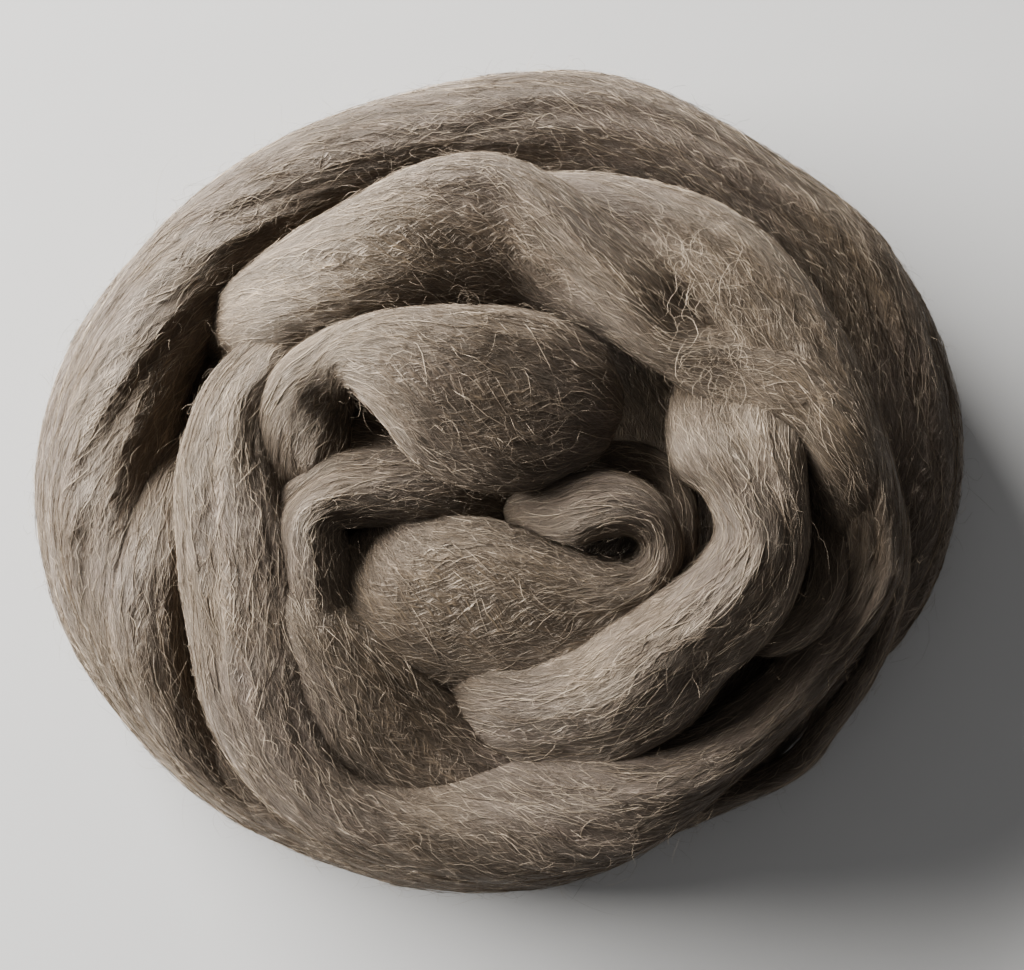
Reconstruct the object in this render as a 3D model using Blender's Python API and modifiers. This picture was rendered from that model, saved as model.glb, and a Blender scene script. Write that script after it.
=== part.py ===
"""A nest of combed wool roving.

One long, loose, untwisted strand is laid round in two rings, one on the other, then round again as a
smaller ring inside them, and its last length is folded to and fro over the middle. The strand is soft,
so every stretch has its own width, thickness and lean, and the turns press into each other until
they are one body with deep creases between them. The nest rests on the flat spot under its lowest ring.
"""

import math
from collections import namedtuple

import bmesh
import bpy
import numpy as np

MM = 0.001

# ---- sizes of the whole nest, in millimetres ----
BED = (220.0, 192.0, 44.0)
BED_TOP = 25.0
HEART = (112.0, 100.0, 60.0)
HEART_TOP = 28.0
RING_SIDES = 40
STATION_STEP = 3.5
TIP_LENGTH = 10.0
SKIN_STEP = 2.2
SKIN_SOFTENING = 3
MOST_FACES = 9600

# A turn is a stretch of a ring: where it is round the nest in degrees, how far out, how high its middle
# lies, and the strand's own width, sideways lean in degrees and thickness there.
Turn = namedtuple("Turn", "angle radius height width lean thick")

# A fold is one section of a free stretch, from its outer edge to its inner edge, and its thickness.
Fold = namedtuple("Fold", "x1 y1 z1 x2 y2 z2 thick")

# A groove runs along a strand from one share of its length to another. Its place round the section
# goes from one angle to the other: 0 is the outer edge, 90 the top and 180 the inner edge.
Groove = namedtuple("Groove", "start end angle1 angle2 depth breadth")

LOW_RING = [
    Turn(35, 101, 12, 16, 0, 26),
    Turn(60, 95, 12, 20, 0, 28),
    Turn(90, 92, 12, 22, 0, 30),
    Turn(120, 94, 12, 22, 0, 30),
    Turn(145, 101, 12, 22, 0, 30),
    Turn(165, 109, 12, 23, 0, 30),
    Turn(180, 112, 12, 23, 0, 30),
    Turn(195, 111, 12, 22, 0, 30),
    Turn(215, 106, 12, 21, 0, 30),
    Turn(240, 101, 12, 20, 0, 30),
    Turn(265, 98, 12, 20, 0, 30),
    Turn(285, 96, 12, 21, 0, 30),
    Turn(300, 94, 9, 18, 0, 24),
    Turn(315, 96, 6, 18, 0, 17),
    Turn(330, 98, 6, 18, 0, 17),
    Turn(345, 106, 11, 15, 0, 28),
    Turn(360, 112, 12, 15, 0, 30),
    Turn(380, 113, 12, 17, 0, 28),
    Turn(400, 104, 12, 16, 0, 26),
]
MIDDLE_RING = [
    Turn(80, 66, 20, 20, 0, 26),
    Turn(120, 62, 22, 20, 0, 28),
    Turn(160, 66, 23, 20, 0, 28),
    Turn(200, 70, 23, 22, 0, 28),
    Turn(240, 82, 22, 26, 0, 28),
    Turn(280, 82, 22, 26, 0, 28),
    Turn(320, 78, 22, 22, 0, 28),
    Turn(360, 80, 24, 22, 0, 28),
    Turn(400, 72, 24, 24, 0, 28),
    Turn(440, 66, 20, 20, 0, 26),
]
TOP_RING = [
    Turn(-26, 106, 9, 9, 0, 17),
    Turn(-14, 111, 11, 12, 0, 22),
    Turn(0, 113, 14, 15, 0, 27),
    Turn(15, 110, 21, 19, 1, 30),
    Turn(30, 108, 26, 22, 1, 30),
    Turn(50, 101, 30, 20, 1, 30),
    Turn(75, 97, 31, 23, 0, 30),
    Turn(100, 92, 29, 24, 0, 30),
    Turn(125, 93, 29, 25, 0, 30),
    Turn(150, 97, 29, 27, -5, 30),
    Turn(172, 100, 28, 28, -10, 30),
    Turn(190, 102, 26, 23, -12, 30),
    Turn(210, 100, 21, 15, -10, 28),
    Turn(238, 99, 12, 9, 0, 24),
]
TOP_RING_GROOVES = [
    Groove(0.44, 0.74, 165, 25, 1.5, 15),
    Groove(0.62, 0.90, 150, 60, 0.8, 13),
    Groove(0.10, 0.34, 80, 120, 2.4, 12),
    Groove(0.25, 0.50, 60, 110, 1.0, 12),
]
INNER_LOW_TURN = [
    Turn(-18, 106, 12, 10, 0, 22),
    Turn(0, 105, 15, 11, 0, 22),
    Turn(25, 99, 19, 12, -1, 22),
    Turn(50, 94, 24, 12, -2, 22),
    Turn(75, 89, 28, 15, -1, 22),
    Turn(92, 88, 23, 16, 8, 22),
]
SECOND_RING = [
    Turn(133, 55, 30, 12, 5, 26),
    Turn(150, 62, 39, 14, -6, 26),
    Turn(165, 67, 44, 20, -8, 26),
    Turn(180, 67, 45, 27, -10, 26),
    Turn(195, 67, 45, 30, -11, 26),
    Turn(212, 73, 43, 30, -10, 26),
    Turn(226, 83, 40, 28, -8, 26),
    Turn(242, 91, 37, 22, -8, 26),
    Turn(254, 91, 36, 22, -14, 26),
    Turn(272, 88, 37, 29, -18, 26),
    Turn(288, 88, 38, 28, -16, 26),
    Turn(306, 88, 38, 18, -8, 26),
    Turn(328, 92, 38, 15, 0, 26),
    Turn(346, 97, 42, 14, 3, 26),
    Turn(362, 89, 46, 19, 3, 26),
    Turn(380, 80, 50, 27, 0, 26),
    Turn(405, 74, 50, 28, 1, 26),
    Turn(425, 71, 46, 22, 6, 26),
    Turn(447, 70, 36, 15, 12, 26),
]
SECOND_RING_GROOVES = [
    Groove(0.30, 0.60, 150, 110, 1.0, 14),
    Groove(0.60, 0.86, 70, 120, 1.0, 12),
    Groove(0.74, 0.95, 60, 100, 1.3, 13),
]
SIDE_STRAND = [
    Fold(-77, 23, 8, -74, 15, 8, 24),
    Fold(-86, 8, 20, -77, 2, 20, 24),
    Fold(-92, -5, 27, -79, -7, 27, 24),
    Fold(-97, -20, 30, -79, -22, 31, 24),
    Fold(-99, -34, 30, -79, -36, 31, 24),
    Fold(-96, -47, 28, -77, -52, 29, 24),
    Fold(-87, -59, 25, -71, -65, 26, 24),
    Fold(-74, -72, 20, -60, -77, 20, 24),
    Fold(-55, -87, 14, -47, -84, 14, 24),
]
OUTER_WISP = [
    Fold(98, 2, 40, 93, 2, 40, 12),
    Fold(103, -14, 40, 98, -14, 40, 12),
    Fold(104, -28, 37, 99, -27, 37, 12),
    Fold(102, -41, 32, 98, -39, 32, 12),
    Fold(97, -54, 26, 93, -50, 26, 12),
    Fold(90, -65, 20, 85, -61, 20, 12),
    Fold(81, -77, 15, 77, -72, 15, 12),
    Fold(68, -84, 12, 65, -79, 12, 12),
    Fold(54, -89, 12, 52, -84, 12, 12),
    Fold(40, -94, 14, 38, -89, 14, 12),
]
INNER_STRAND = [
    Fold(-67, 18, 28, -59, 16, 28, 22),
    Fold(-62, 2, 34, -55, 0, 34, 22),
    Fold(-60, -14, 37, -50, -14, 37, 22),
    Fold(-57, -29, 38, -46, -26, 38, 22),
    Fold(-52, -44, 40, -38, -39, 40, 22),
    Fold(-47, -58, 40, -24, -47, 40, 22),
    Fold(-42, -69, 37, -12, -54, 38, 22),
    Fold(-30, -77, 33, 1, -62, 34, 22),
    Fold(-7, -80, 28, 16, -67, 28, 22),
    Fold(16, -81, 24, 32, -68, 24, 22),
]
BEND = [
    Fold(11, 1, 32, 3, -15, 34, 20),
    Fold(-14, 3, 44, -14, -12, 43, 20),
    Fold(-32, 4, 49, -28, -12, 46, 20),
    Fold(-45, 1, 50, -38, -12, 47, 20),
    Fold(-52, -7, 48, -40, -14, 47, 20),
    Fold(-52, -19, 46, -40, -20, 46, 20),
    Fold(-48, -31, 43, -38, -31, 43, 20),
    Fold(-44, -44, 39, -32, -40, 39, 20),
    Fold(-35, -57, 34, -22, -49, 34, 18),
    Fold(-23, -68, 27, -12, -57, 27, 14),
]
ARCH = [
    Fold(-75, 40, 2, -73, 28, 2, 12),
    Fold(-71, 46, 14, -69, 30, 16, 16),
    Fold(-66, 50, 30, -62, 30, 37, 18),
    Fold(-59, 54, 41, -54, 31, 49, 20),
    Fold(-49, 61, 47, -42, 34, 53, 20),
    Fold(-37, 68, 51, -30, 38, 53, 20),
    Fold(-24, 75, 56, -18, 41, 50, 20),
    Fold(-11, 78, 60, -6, 41, 46, 18),
    Fold(2, 77, 62, 6, 42, 42, 18),
    Fold(16, 68, 65, 16, 42, 41, 18),
    Fold(27, 57, 65, 24, 40, 44, 18),
    Fold(38, 46, 64, 32, 36, 47, 18),
    Fold(47, 37, 59, 39, 29, 50, 17),
    Fold(56, 35, 55, 47, 22, 52, 17),
    Fold(64, 34, 54, 58, 17, 52, 17),
    Fold(72, 33, 55, 68, 12, 54, 17),
    Fold(79, 29, 56, 76, 7, 55, 16),
    Fold(85, 21, 56, 80, -2, 55, 16),
    Fold(89, 11, 53, 84, -11, 51, 16),
    Fold(93, -1, 46, 89, -18, 43, 14),
    Fold(96, -11, 36, 94, -23, 34, 12),
]
CENTRE_FOLD = [
    Fold(-54, -11, 28, -45, -5, 29, 12),
    Fold(-58, -4, 40, -42, -1, 39, 12),
    Fold(-59, 4, 46, -40, 4, 43, 12),
    Fold(-59, 13, 51, -39, 9, 43, 12),
    Fold(-57, 20, 55, -38, 13, 43, 12),
    Fold(-52, 27, 59, -37, 17, 45, 12),
    Fold(-46, 31, 61, -36, 20, 50, 13),
    Fold(-39, 35, 63, -33, 21, 56, 14),
    Fold(-30, 38, 64, -28, 13, 61, 16),
    Fold(-18, 40, 64, -21, 3, 63, 18),
    Fold(-7, 40, 64, -14, -2, 62, 18),
    Fold(3, 40, 61, -4, -5, 61, 18),
    Fold(14, 38, 58, 7, -5, 58, 18),
    Fold(23, 32, 53, 20, 1, 53, 18),
    Fold(28, 23, 46, 27, 9, 46, 18),
]
UNDER_FOLD = [
    Fold(-56, -6, 32, -52, 15, 32, 14),
    Fold(-45, -3, 40, -41, 14, 34, 14),
    Fold(-33, -1, 43, -32, 20, 33, 14),
    Fold(-22, -2, 43, -22, 10, 35, 14),
    Fold(-9, -4, 40, -10, 5, 31, 14),
]
CURL = [
    Fold(-23, -11, 38, -40, -15, 35, 14),
    Fold(-21, -12, 43, -38, -28, 38, 16),
    Fold(-18, -12, 49, -33, -41, 41, 18),
    Fold(-13, -12, 52, -22, -49, 43, 18),
    Fold(-4, -12, 54, -9, -52, 42, 18),
    Fold(7, -15, 55, 6, -53, 41, 18),
    Fold(18, -19, 54, 23, -48, 42, 18),
    Fold(27, -22, 53, 33, -36, 45, 18),
    Fold(33, -22, 52, 40, -28, 47, 16),
    Fold(36, -19, 53, 45, -18, 50, 14),
    Fold(34, -16, 55, 41, -7, 52, 14),
    Fold(27, -16, 57, 29, 0, 53, 14),
    Fold(19, -18, 55, 16, -2, 52, 14),
    Fold(12, -15, 49, 9, -4, 46, 14),
    Fold(7, -11, 38, 3, -6, 36, 12),
]
WRAP = [
    Fold(11, 7, 36, 14, -3, 36, 14),
    Fold(26, 9, 40, 28, -1, 40, 14),
    Fold(40, 7, 42, 38, -4, 42, 14),
    Fold(49, -1, 43, 43, -9, 43, 14),
    Fold(51, -14, 43, 44, -16, 43, 14),
    Fold(49, -25, 42, 43, -24, 42, 14),
    Fold(40, -35, 40, 35, -31, 40, 14),
    Fold(26, -44, 36, 24, -39, 36, 14),
]
INNER_LOOP = [
    Fold(68, 33, 36, 50, 31, 36, 14),
    Fold(71, 23, 43, 46, 21, 43, 18),
    Fold(74, 13, 50, 43, 11, 54, 22),
    Fold(75, 4, 53, 45, 1, 57, 24),
    Fold(76, -6, 54, 52, -6, 58, 24),
    Fold(76, -15, 52, 55, -15, 59, 24),
    Fold(74, -27, 50, 52, -21, 59, 24),
    Fold(68, -38, 48, 43, -29, 58, 24),
    Fold(57, -49, 46, 33, -36, 57, 24),
    Fold(48, -60, 44, 26, -41, 56, 24),
    Fold(39, -66, 42, 21, -45, 54, 22),
    Fold(30, -70, 40, 15, -47, 52, 20),
    Fold(19, -71, 38, 8, -49, 50, 18),
    Fold(9, -71, 36, -1, -48, 47, 18),
    Fold(1, -68, 33, -9, -47, 42, 16),
    Fold(-8, -59, 28, -15, -42, 35, 14),
    Fold(-16, -50, 20, -21, -36, 28, 12),
]
INNER_LOOP_GROOVES = [
    Groove(0.05, 0.40, 120, 60, 1.4, 13),
    Groove(0.45, 0.85, 80, 60, 1.0, 13),
]
TUCK = [
    Fold(88, 2, 34, 79, 1, 34, 14),
    Fold(88, -9, 41, 78, -10, 41, 14),
    Fold(88, -19, 46, 78, -20, 46, 14),
    Fold(86, -31, 49, 76, -29, 49, 14),
    Fold(81, -39, 50, 73, -33, 50, 14),
    Fold(74, -44, 49, 68, -37, 49, 14),
    Fold(66, -46, 42, 65, -38, 42, 12),
]
PIT_STRAND = [
    Fold(52, 45, 10, 32, 45, 10, 16),
    Fold(53, 28, 12, 29, 30, 12, 16),
    Fold(52, 15, 12, 29, 15, 12, 16),
    Fold(49, 1, 10, 33, 1, 10, 16),
]

# name, rows, roundness of the section (2 is an oval, more is squarer) and lengthwise grooves
STRETCHES = [
    ("low ring", LOW_RING, 2.4, []),
    ("middle ring", MIDDLE_RING, 2.4, []),
    ("top ring", TOP_RING, 2.4, TOP_RING_GROOVES),
    ("inner low turn", INNER_LOW_TURN, 2.4, []),
    ("second ring", SECOND_RING, 2.4, SECOND_RING_GROOVES),
    ("side strand", SIDE_STRAND, 2.4, []),
    ("outer wisp", OUTER_WISP, 2.0, []),
    ("inner strand", INNER_STRAND, 2.4, []),
    ("bend", BEND, 2.4, []),
    ("arch", ARCH, 2.4, []),
    ("centre fold", CENTRE_FOLD, 2.4, []),
    ("under fold", UNDER_FOLD, 2.4, []),
    ("curl", CURL, 2.4, []),
    ("wrap", WRAP, 2.4, []),
    ("inner loop", INNER_LOOP, 2.4, INNER_LOOP_GROOVES),
    ("tuck", TUCK, 2.4, []),
    ("pit strand", PIT_STRAND, 2.4, []),
]


def smooth_path(rows, positions):
    """Rows read along a smooth curve through all of them, at even steps, and the length at each step."""
    steps = np.linalg.norm(np.diff(positions, axis=0), axis=1)
    knots = np.concatenate([[0.0], np.cumsum(steps)])
    slopes = np.empty_like(rows)
    slopes[0] = (rows[1] - rows[0]) / steps[0]
    slopes[-1] = (rows[-1] - rows[-2]) / steps[-1]
    before = (rows[1:-1] - rows[:-2]) / steps[:-1, None]
    after = (rows[2:] - rows[1:-1]) / steps[1:, None]
    weight = (steps[:-1] / (steps[:-1] + steps[1:]))[:, None]
    slopes[1:-1] = before * (1.0 - weight) + after * weight
    count = max(8, round(knots[-1] / STATION_STEP))
    along = np.linspace(0.0, knots[-1], count)
    piece = np.clip(np.searchsorted(knots, along, side="right") - 1, 0, len(rows) - 2)
    span = steps[piece][:, None]
    t = (along[:, None] - knots[piece][:, None]) / span
    path = (2 * t**3 - 3 * t**2 + 1) * rows[piece] + (t**3 - 2 * t**2 + t) * span * slopes[piece]
    path += (3 * t**2 - 2 * t**3) * rows[piece + 1] + (t**3 - t**2) * span * slopes[piece + 1]
    return path, along


def unit(vectors):
    return vectors / np.linalg.norm(vectors, axis=1)[:, None]


def ring_route(turns):
    """Middle, half-width vector and thickness along a ring."""
    rows = np.array(turns, float)
    turn = np.radians(rows[:, 0])
    places = np.column_stack([rows[:, 1] * np.cos(turn), rows[:, 1] * np.sin(turn), rows[:, 2]])
    path, along = smooth_path(rows, places)
    turn = np.radians(path[:, 0])
    middle = np.column_stack([path[:, 1] * np.cos(turn), path[:, 1] * np.sin(turn), path[:, 2]])
    forward = np.gradient(middle, axis=0)
    forward[:, 2] = 0.0
    forward = unit(forward)
    outward = np.column_stack([forward[:, 1], -forward[:, 0], np.zeros(len(forward))])
    lean = np.radians(path[:, 4])[:, None]
    half = outward * np.cos(lean) + np.array([[0.0, 0.0, 1.0]]) * np.sin(lean)
    return middle, half * path[:, 3:4] / 2, path[:, 5], along


def fold_route(folds):
    """Middle, half-width vector and thickness along a free stretch."""
    rows = np.array(folds, float)
    path, along = smooth_path(rows, (rows[:, 0:3] + rows[:, 3:6]) / 2)
    middle = (path[:, 0:3] + path[:, 3:6]) / 2
    return middle, (path[:, 0:3] - path[:, 3:6]) / 2, path[:, 6], along


def rounded_tips(along):
    """A factor for each section, which rounds off both ends of a stretch."""
    first = np.clip(along / TIP_LENGTH, 0.0, 1.0)
    last = np.clip((along[-1] - along) / TIP_LENGTH, 0.0, 1.0)
    factor = np.sqrt(1.0 - (1.0 - first) ** 2) * np.sqrt(1.0 - (1.0 - last) ** 2)
    return np.maximum(factor, 0.05)


def sections(rows, roundness, grooves):
    """Points of every section of one stretch, as an array of stations by sides by xyz."""
    route = ring_route if isinstance(rows[0], Turn) else fold_route
    middle, half, thick, along = route(rows)
    upward = unit(np.cross(np.gradient(middle, axis=0), half))
    if upward[len(upward) // 2, 2] < 0:
        upward = -upward
    around = np.linspace(0.0, 2 * math.pi, RING_SIDES, endpoint=False)
    across = np.sign(np.cos(around)) * np.abs(np.cos(around)) ** (2 / roundness)
    over = np.sign(np.sin(around)) * np.abs(np.sin(around)) ** (2 / roundness)
    tips = rounded_tips(along)[:, None, None]
    offsets = half[:, None] * across[None, :, None]
    offsets = offsets + upward[:, None] * (thick / 2)[:, None, None] * over[None, :, None]
    reach = np.linalg.norm(offsets, axis=2)
    share = along / along[-1]
    for groove in grooves:
        place = (share - groove.start) / (groove.end - groove.start)
        fade = np.clip(np.minimum(place, 1.0 - place) * 5.0, 0.0, 1.0)
        centre = np.radians(groove.angle1 + (groove.angle2 - groove.angle1) * place)
        apart = (around[None, :] - centre[:, None]) / math.radians(groove.breadth)
        dent = groove.depth * fade[:, None] * np.exp(-(apart**2))
        offsets = offsets * (1.0 - dent / reach)[:, :, None]
    return middle[:, None] + offsets * tips


def loft(bm, points):
    """A closed tube through the sections, with a cap at each end."""
    rings = [[bm.verts.new(point * MM) for point in section] for section in points]
    sides = len(rings[0])
    for here, there in zip(rings, rings[1:]):
        for side in range(sides):
            after = (side + 1) % sides
            bm.faces.new((here[side], here[after], there[after], there[side]))
    bm.faces.new(rings[0][::-1])
    bm.faces.new(rings[-1])


def mound(bm, size, top):
    """Hidden turns under the others, as a low mound that carries them."""
    made = bmesh.ops.create_uvsphere(bm, u_segments=48, v_segments=24, radius=0.5)
    bmesh.ops.scale(bm, vec=[side * MM for side in size], verts=made["verts"])
    bmesh.ops.translate(bm, vec=(0.0, 0.0, (top - size[2] / 2) * MM), verts=made["verts"])


def pressed_together(bm):
    """One skin round all the stretches, softened, with few faces."""
    mesh = bpy.data.meshes.new("stretches")
    bm.to_mesh(mesh)
    bm.free()
    guide = bpy.data.objects.new("stretches", mesh)
    bpy.context.scene.collection.objects.link(guide)
    remesh = guide.modifiers.new("skin", "REMESH")
    remesh.mode = "VOXEL"
    remesh.voxel_size = SKIN_STEP * MM
    remesh.adaptivity = 0.0
    soften = guide.modifiers.new("soften", "SMOOTH")
    soften.iterations = SKIN_SOFTENING
    soften.factor = 0.5
    graph = bpy.context.evaluated_depsgraph_get()
    skin = bpy.data.meshes.new_from_object(guide.evaluated_get(graph))
    fewer = guide.modifiers.new("fewer faces", "DECIMATE")
    fewer.ratio = MOST_FACES / (2 * len(skin.polygons))
    fewer.use_collapse_triangulate = True
    graph.update()
    graph = bpy.context.evaluated_depsgraph_get()
    skin = bpy.data.meshes.new_from_object(guide.evaluated_get(graph))
    bpy.data.objects.remove(guide)
    return skin


def largest_shell(bm):
    """Removes every shell but the outer one, so that no hollow is left sealed inside."""
    shells = []
    waiting = set(bm.verts)
    while waiting:
        shell = {waiting.pop()}
        edge = list(shell)
        while edge:
            vert = edge.pop()
            for link in vert.link_edges:
                other = link.other_vert(vert)
                if other in waiting:
                    waiting.remove(other)
                    shell.add(other)
                    edge.append(other)
        shells.append(shell)
    shells.sort(key=len)
    spare = [vert for shell in shells[:-1] for vert in shell]
    bmesh.ops.delete(bm, geom=spare, context="VERTS")


def resting_face(bm):
    """Cuts the underside flat at the floor."""
    geom = list(bm.verts) + list(bm.edges) + list(bm.faces)
    cut = bmesh.ops.bisect_plane(
        bm, geom=geom, dist=1e-7, plane_co=(0, 0, 0), plane_no=(0, 0, 1), clear_inner=True
    )
    rim = [item for item in cut["geom_cut"] if isinstance(item, bmesh.types.BMEdge)]
    bmesh.ops.triangle_fill(bm, use_beauty=True, use_dissolve=False, edges=rim, normal=(0, 0, -1))
    bmesh.ops.triangulate(bm, faces=bm.faces)
    bmesh.ops.recalc_face_normals(bm, faces=bm.faces)


def centred(bm):
    """Moves the nest so that its box stands over the origin."""
    x = [vert.co.x for vert in bm.verts]
    y = [vert.co.y for vert in bm.verts]
    middle = ((min(x) + max(x)) / 2, (min(y) + max(y)) / 2)
    bmesh.ops.translate(bm, vec=(-middle[0], -middle[1], 0.0), verts=bm.verts)


def wool():
    material = bpy.data.materials.new("combed wool")
    material.use_nodes = True
    surface = material.node_tree.nodes["Principled BSDF"]
    surface.inputs["Base Color"].default_value = (0.30, 0.25, 0.20, 1.0)
    surface.inputs["Roughness"].default_value = 0.8
    surface.inputs["Sheen Weight"].default_value = 0.3
    return material


def main():
    for item in list(bpy.data.objects):
        bpy.data.objects.remove(item)
    stretches = bmesh.new()
    mound(stretches, BED, BED_TOP)
    mound(stretches, HEART, HEART_TOP)
    for _name, rows, roundness, grooves in STRETCHES:
        loft(stretches, sections(rows, roundness, grooves))
    bmesh.ops.recalc_face_normals(stretches, faces=stretches.faces)
    skin = pressed_together(stretches)
    bm = bmesh.new()
    bm.from_mesh(skin)
    largest_shell(bm)
    resting_face(bm)
    centred(bm)
    mesh = bpy.data.meshes.new("roving")
    bm.to_mesh(mesh)
    bm.free()
    mesh.shade_smooth()
    mesh.materials.append(wool())
    nest = bpy.data.objects.new("roving", mesh)
    collection = bpy.data.collections.new("wool roving")
    bpy.context.scene.collection.children.link(collection)
    collection.objects.link(nest)


main()
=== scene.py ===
"""A nest of combed wool roving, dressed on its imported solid.

One loose, untwisted strand is laid round in two rings and folded to and fro over the middle. Here each
stretch of the strand is a soft skin with its own creases and locks, tens of thousands of fibres lie
along it, and stray fibres stand off it as a fine fuzz. It is laid out as a Blender add-on.
"""

import math
from collections import namedtuple

import bmesh
import bpy
import numpy as np
from bpy.props import FloatProperty, FloatVectorProperty, IntProperty, PointerProperty
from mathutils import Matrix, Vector
from mathutils.bvhtree import BVHTree


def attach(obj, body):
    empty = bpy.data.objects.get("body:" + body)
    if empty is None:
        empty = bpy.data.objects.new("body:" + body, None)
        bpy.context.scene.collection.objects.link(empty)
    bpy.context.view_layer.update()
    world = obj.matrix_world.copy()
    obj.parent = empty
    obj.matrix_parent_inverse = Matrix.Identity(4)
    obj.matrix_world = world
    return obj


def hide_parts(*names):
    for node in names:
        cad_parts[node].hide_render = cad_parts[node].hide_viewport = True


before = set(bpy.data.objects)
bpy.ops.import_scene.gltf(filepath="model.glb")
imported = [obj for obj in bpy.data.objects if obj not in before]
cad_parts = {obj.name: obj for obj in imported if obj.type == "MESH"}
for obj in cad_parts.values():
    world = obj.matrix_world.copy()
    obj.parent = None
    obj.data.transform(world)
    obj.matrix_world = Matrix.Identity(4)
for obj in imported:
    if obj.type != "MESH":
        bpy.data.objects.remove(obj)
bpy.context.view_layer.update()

bl_info = {
    "name": "Wool Roving Nest",
    "version": (1, 0, 0),
    "blender": (4, 5, 0),
    "location": "3D View > Sidebar > Wool",
    "description": "Lays a nest of combed wool roving, fibre by fibre",
    "category": "Object",
}

MM = 0.001
LOCK_SEED = 41
LOCK_SEED_STEP = 17
LAID_SEED = 1041
STRAY_SEED = 2041
TANGLE_SEED = 3041
BODY = "root"
SOLID = "roving"
MAP_NAME = "length_round"

# ---- sizes of the nest, in millimetres ----
# Places are measured from the middle of the rings, and this moves them to the middle of the solid.
NEST_SHIFT = np.array([1.57, 0.64, 0.0])

# The buried turns are two mounds: the bed under the rings, and the heart under the folds.
BED = (214.0, 186.0, 44.0)
BED_TOP = 25.0
HEART = (112.0, 100.0, 60.0)
HEART_TOP = 22.0
MOUND_SIDES = 48

# A stretch rounds off over this length at both ends, to this share of its section.
TIP_LENGTH = 10.0
LEAST_TIP = 0.04
FLOOR_GAP = 0.1

# The deepest crease and the highest ridge, as shares of the strand's half thickness there, and how
# steeply a groove fades in and out: 5 is over a fifth of its length.
CREASE_LIMITS = (-0.55, 0.3)
GROOVE_FADE = 5.0

# Where turns press together they swell, up to this much. The swell is worked out at every second
# section and side, and then evened out several times.
MOST_SWELL = 5.0
SWELL_STEP = 2
SOFTENINGS = 3

# Locks are the low ridges that fibres make where they lie together: their length, half width and
# height, and how many times over they cover the strand.
Lock = namedtuple("Lock", "length width height cover")
LOCKS = [
    Lock(60.0, 4.0, 0.42, 1.2),
    Lock(22.0, 1.8, 0.20, 1.4),
]

# How locks vary: where along the stretch their middles lie, and their length and half width, all as
# shares, and how far they wander sideways for each millimetre along.
LOCK_PLACES = (-0.1, 1.1)
LOCK_LENGTHS = (0.5, 1.6)
LOCK_WIDTHS = (0.6, 1.5)
LOCK_WANDER = 0.05

# A turn is one section of a ring: where it is round the nest in degrees, how far out, how high its
# middle lies, and the strand's own width, sideways lean in degrees and thickness there.
Turn = namedtuple("Turn", "angle radius height width lean thick")

# A fold is one section of a free stretch, from its outer edge to its inner edge, and its thickness.
Fold = namedtuple("Fold", "x1 y1 z1 x2 y2 z2 thick")

# A groove runs along a strand from one share of its length to another. Its place round the section
# goes from one angle to the other: 0 is the outer edge, 90 the top and 180 the inner edge.
Groove = namedtuple("Groove", "start end angle1 angle2 depth breadth")

# A slant is how far the fibres turn from the strand's own run, in degrees towards its outer edge.
Slant = namedtuple("Slant", "share degrees")

# One stretch: its sections, how much its locks stand out, the step and number of sides of its skin,
# and, where they are its own, its creases, its slants and how square its sections are.
STRAIGHT = [Slant(0.0, 0.0), Slant(1.0, 0.0)]
SOFTLY_SQUARE = 2.4
Stretch = namedtuple(
    "Stretch", "name rows relief step sides grooves slants roundness", defaults=[(), STRAIGHT, SOFTLY_SQUARE]
)

LOW_RING = [
    Turn(35, 101, 12, 16, 0, 26),
    Turn(60, 95, 12, 20, 0, 28),
    Turn(90, 92, 12, 22, 0, 30),
    Turn(120, 94, 12, 22, 0, 30),
    Turn(145, 101, 12, 22, 0, 30),
    Turn(165, 109, 12, 23, 0, 30),
    Turn(180, 112, 12, 23, 0, 30),
    Turn(195, 111, 12, 22, 0, 30),
    Turn(215, 106, 12, 21, 0, 30),
    Turn(240, 101, 12, 20, 0, 30),
    Turn(265, 98, 12, 20, 0, 30),
    Turn(285, 96, 12, 21, 0, 30),
    Turn(300, 94, 9, 18, 0, 24),
    Turn(315, 96, 6, 18, 0, 17),
    Turn(330, 98, 6, 18, 0, 17),
    Turn(345, 106, 11, 15, 0, 28),
    Turn(360, 112, 12, 15, 0, 30),
    Turn(380, 113, 12, 17, 0, 28),
    Turn(400, 104, 12, 16, 0, 26),
]
MIDDLE_RING = [
    Turn(80, 66, 20, 20, 0, 26),
    Turn(120, 62, 22, 20, 0, 28),
    Turn(160, 66, 23, 20, 0, 28),
    Turn(200, 70, 23, 22, 0, 28),
    Turn(240, 82, 22, 26, 0, 28),
    Turn(280, 82, 22, 26, 0, 28),
    Turn(320, 78, 22, 22, 0, 28),
    Turn(360, 80, 24, 22, 0, 28),
    Turn(400, 72, 24, 24, 0, 28),
    Turn(440, 66, 20, 20, 0, 26),
]
TOP_RING = [
    Turn(-26, 106, 9, 9, 0, 17),
    Turn(-14, 111, 11, 12, 0, 22),
    Turn(0, 113, 14, 15, 0, 27),
    Turn(15, 110, 21, 19, 1, 30),
    Turn(30, 108, 26, 22, 1, 30),
    Turn(50, 101, 30, 20, 1, 30),
    Turn(75, 97, 31, 23, 0, 30),
    Turn(100, 92, 29, 24, 0, 30),
    Turn(125, 93, 29, 25, 0, 30),
    Turn(150, 97, 29, 27, -5, 30),
    Turn(172, 100, 28, 28, -10, 30),
    Turn(190, 102, 26, 23, -12, 30),
    Turn(210, 100, 21, 15, -10, 28),
    Turn(238, 99, 12, 9, 0, 24),
]
TOP_RING_GROOVES = [
    Groove(0.44, 0.74, 165, 25, 1.5, 15),
    Groove(0.62, 0.90, 150, 60, 0.8, 13),
    Groove(0.10, 0.34, 80, 120, 2.4, 12),
    Groove(0.25, 0.50, 60, 110, 1.0, 12),
]
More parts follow.
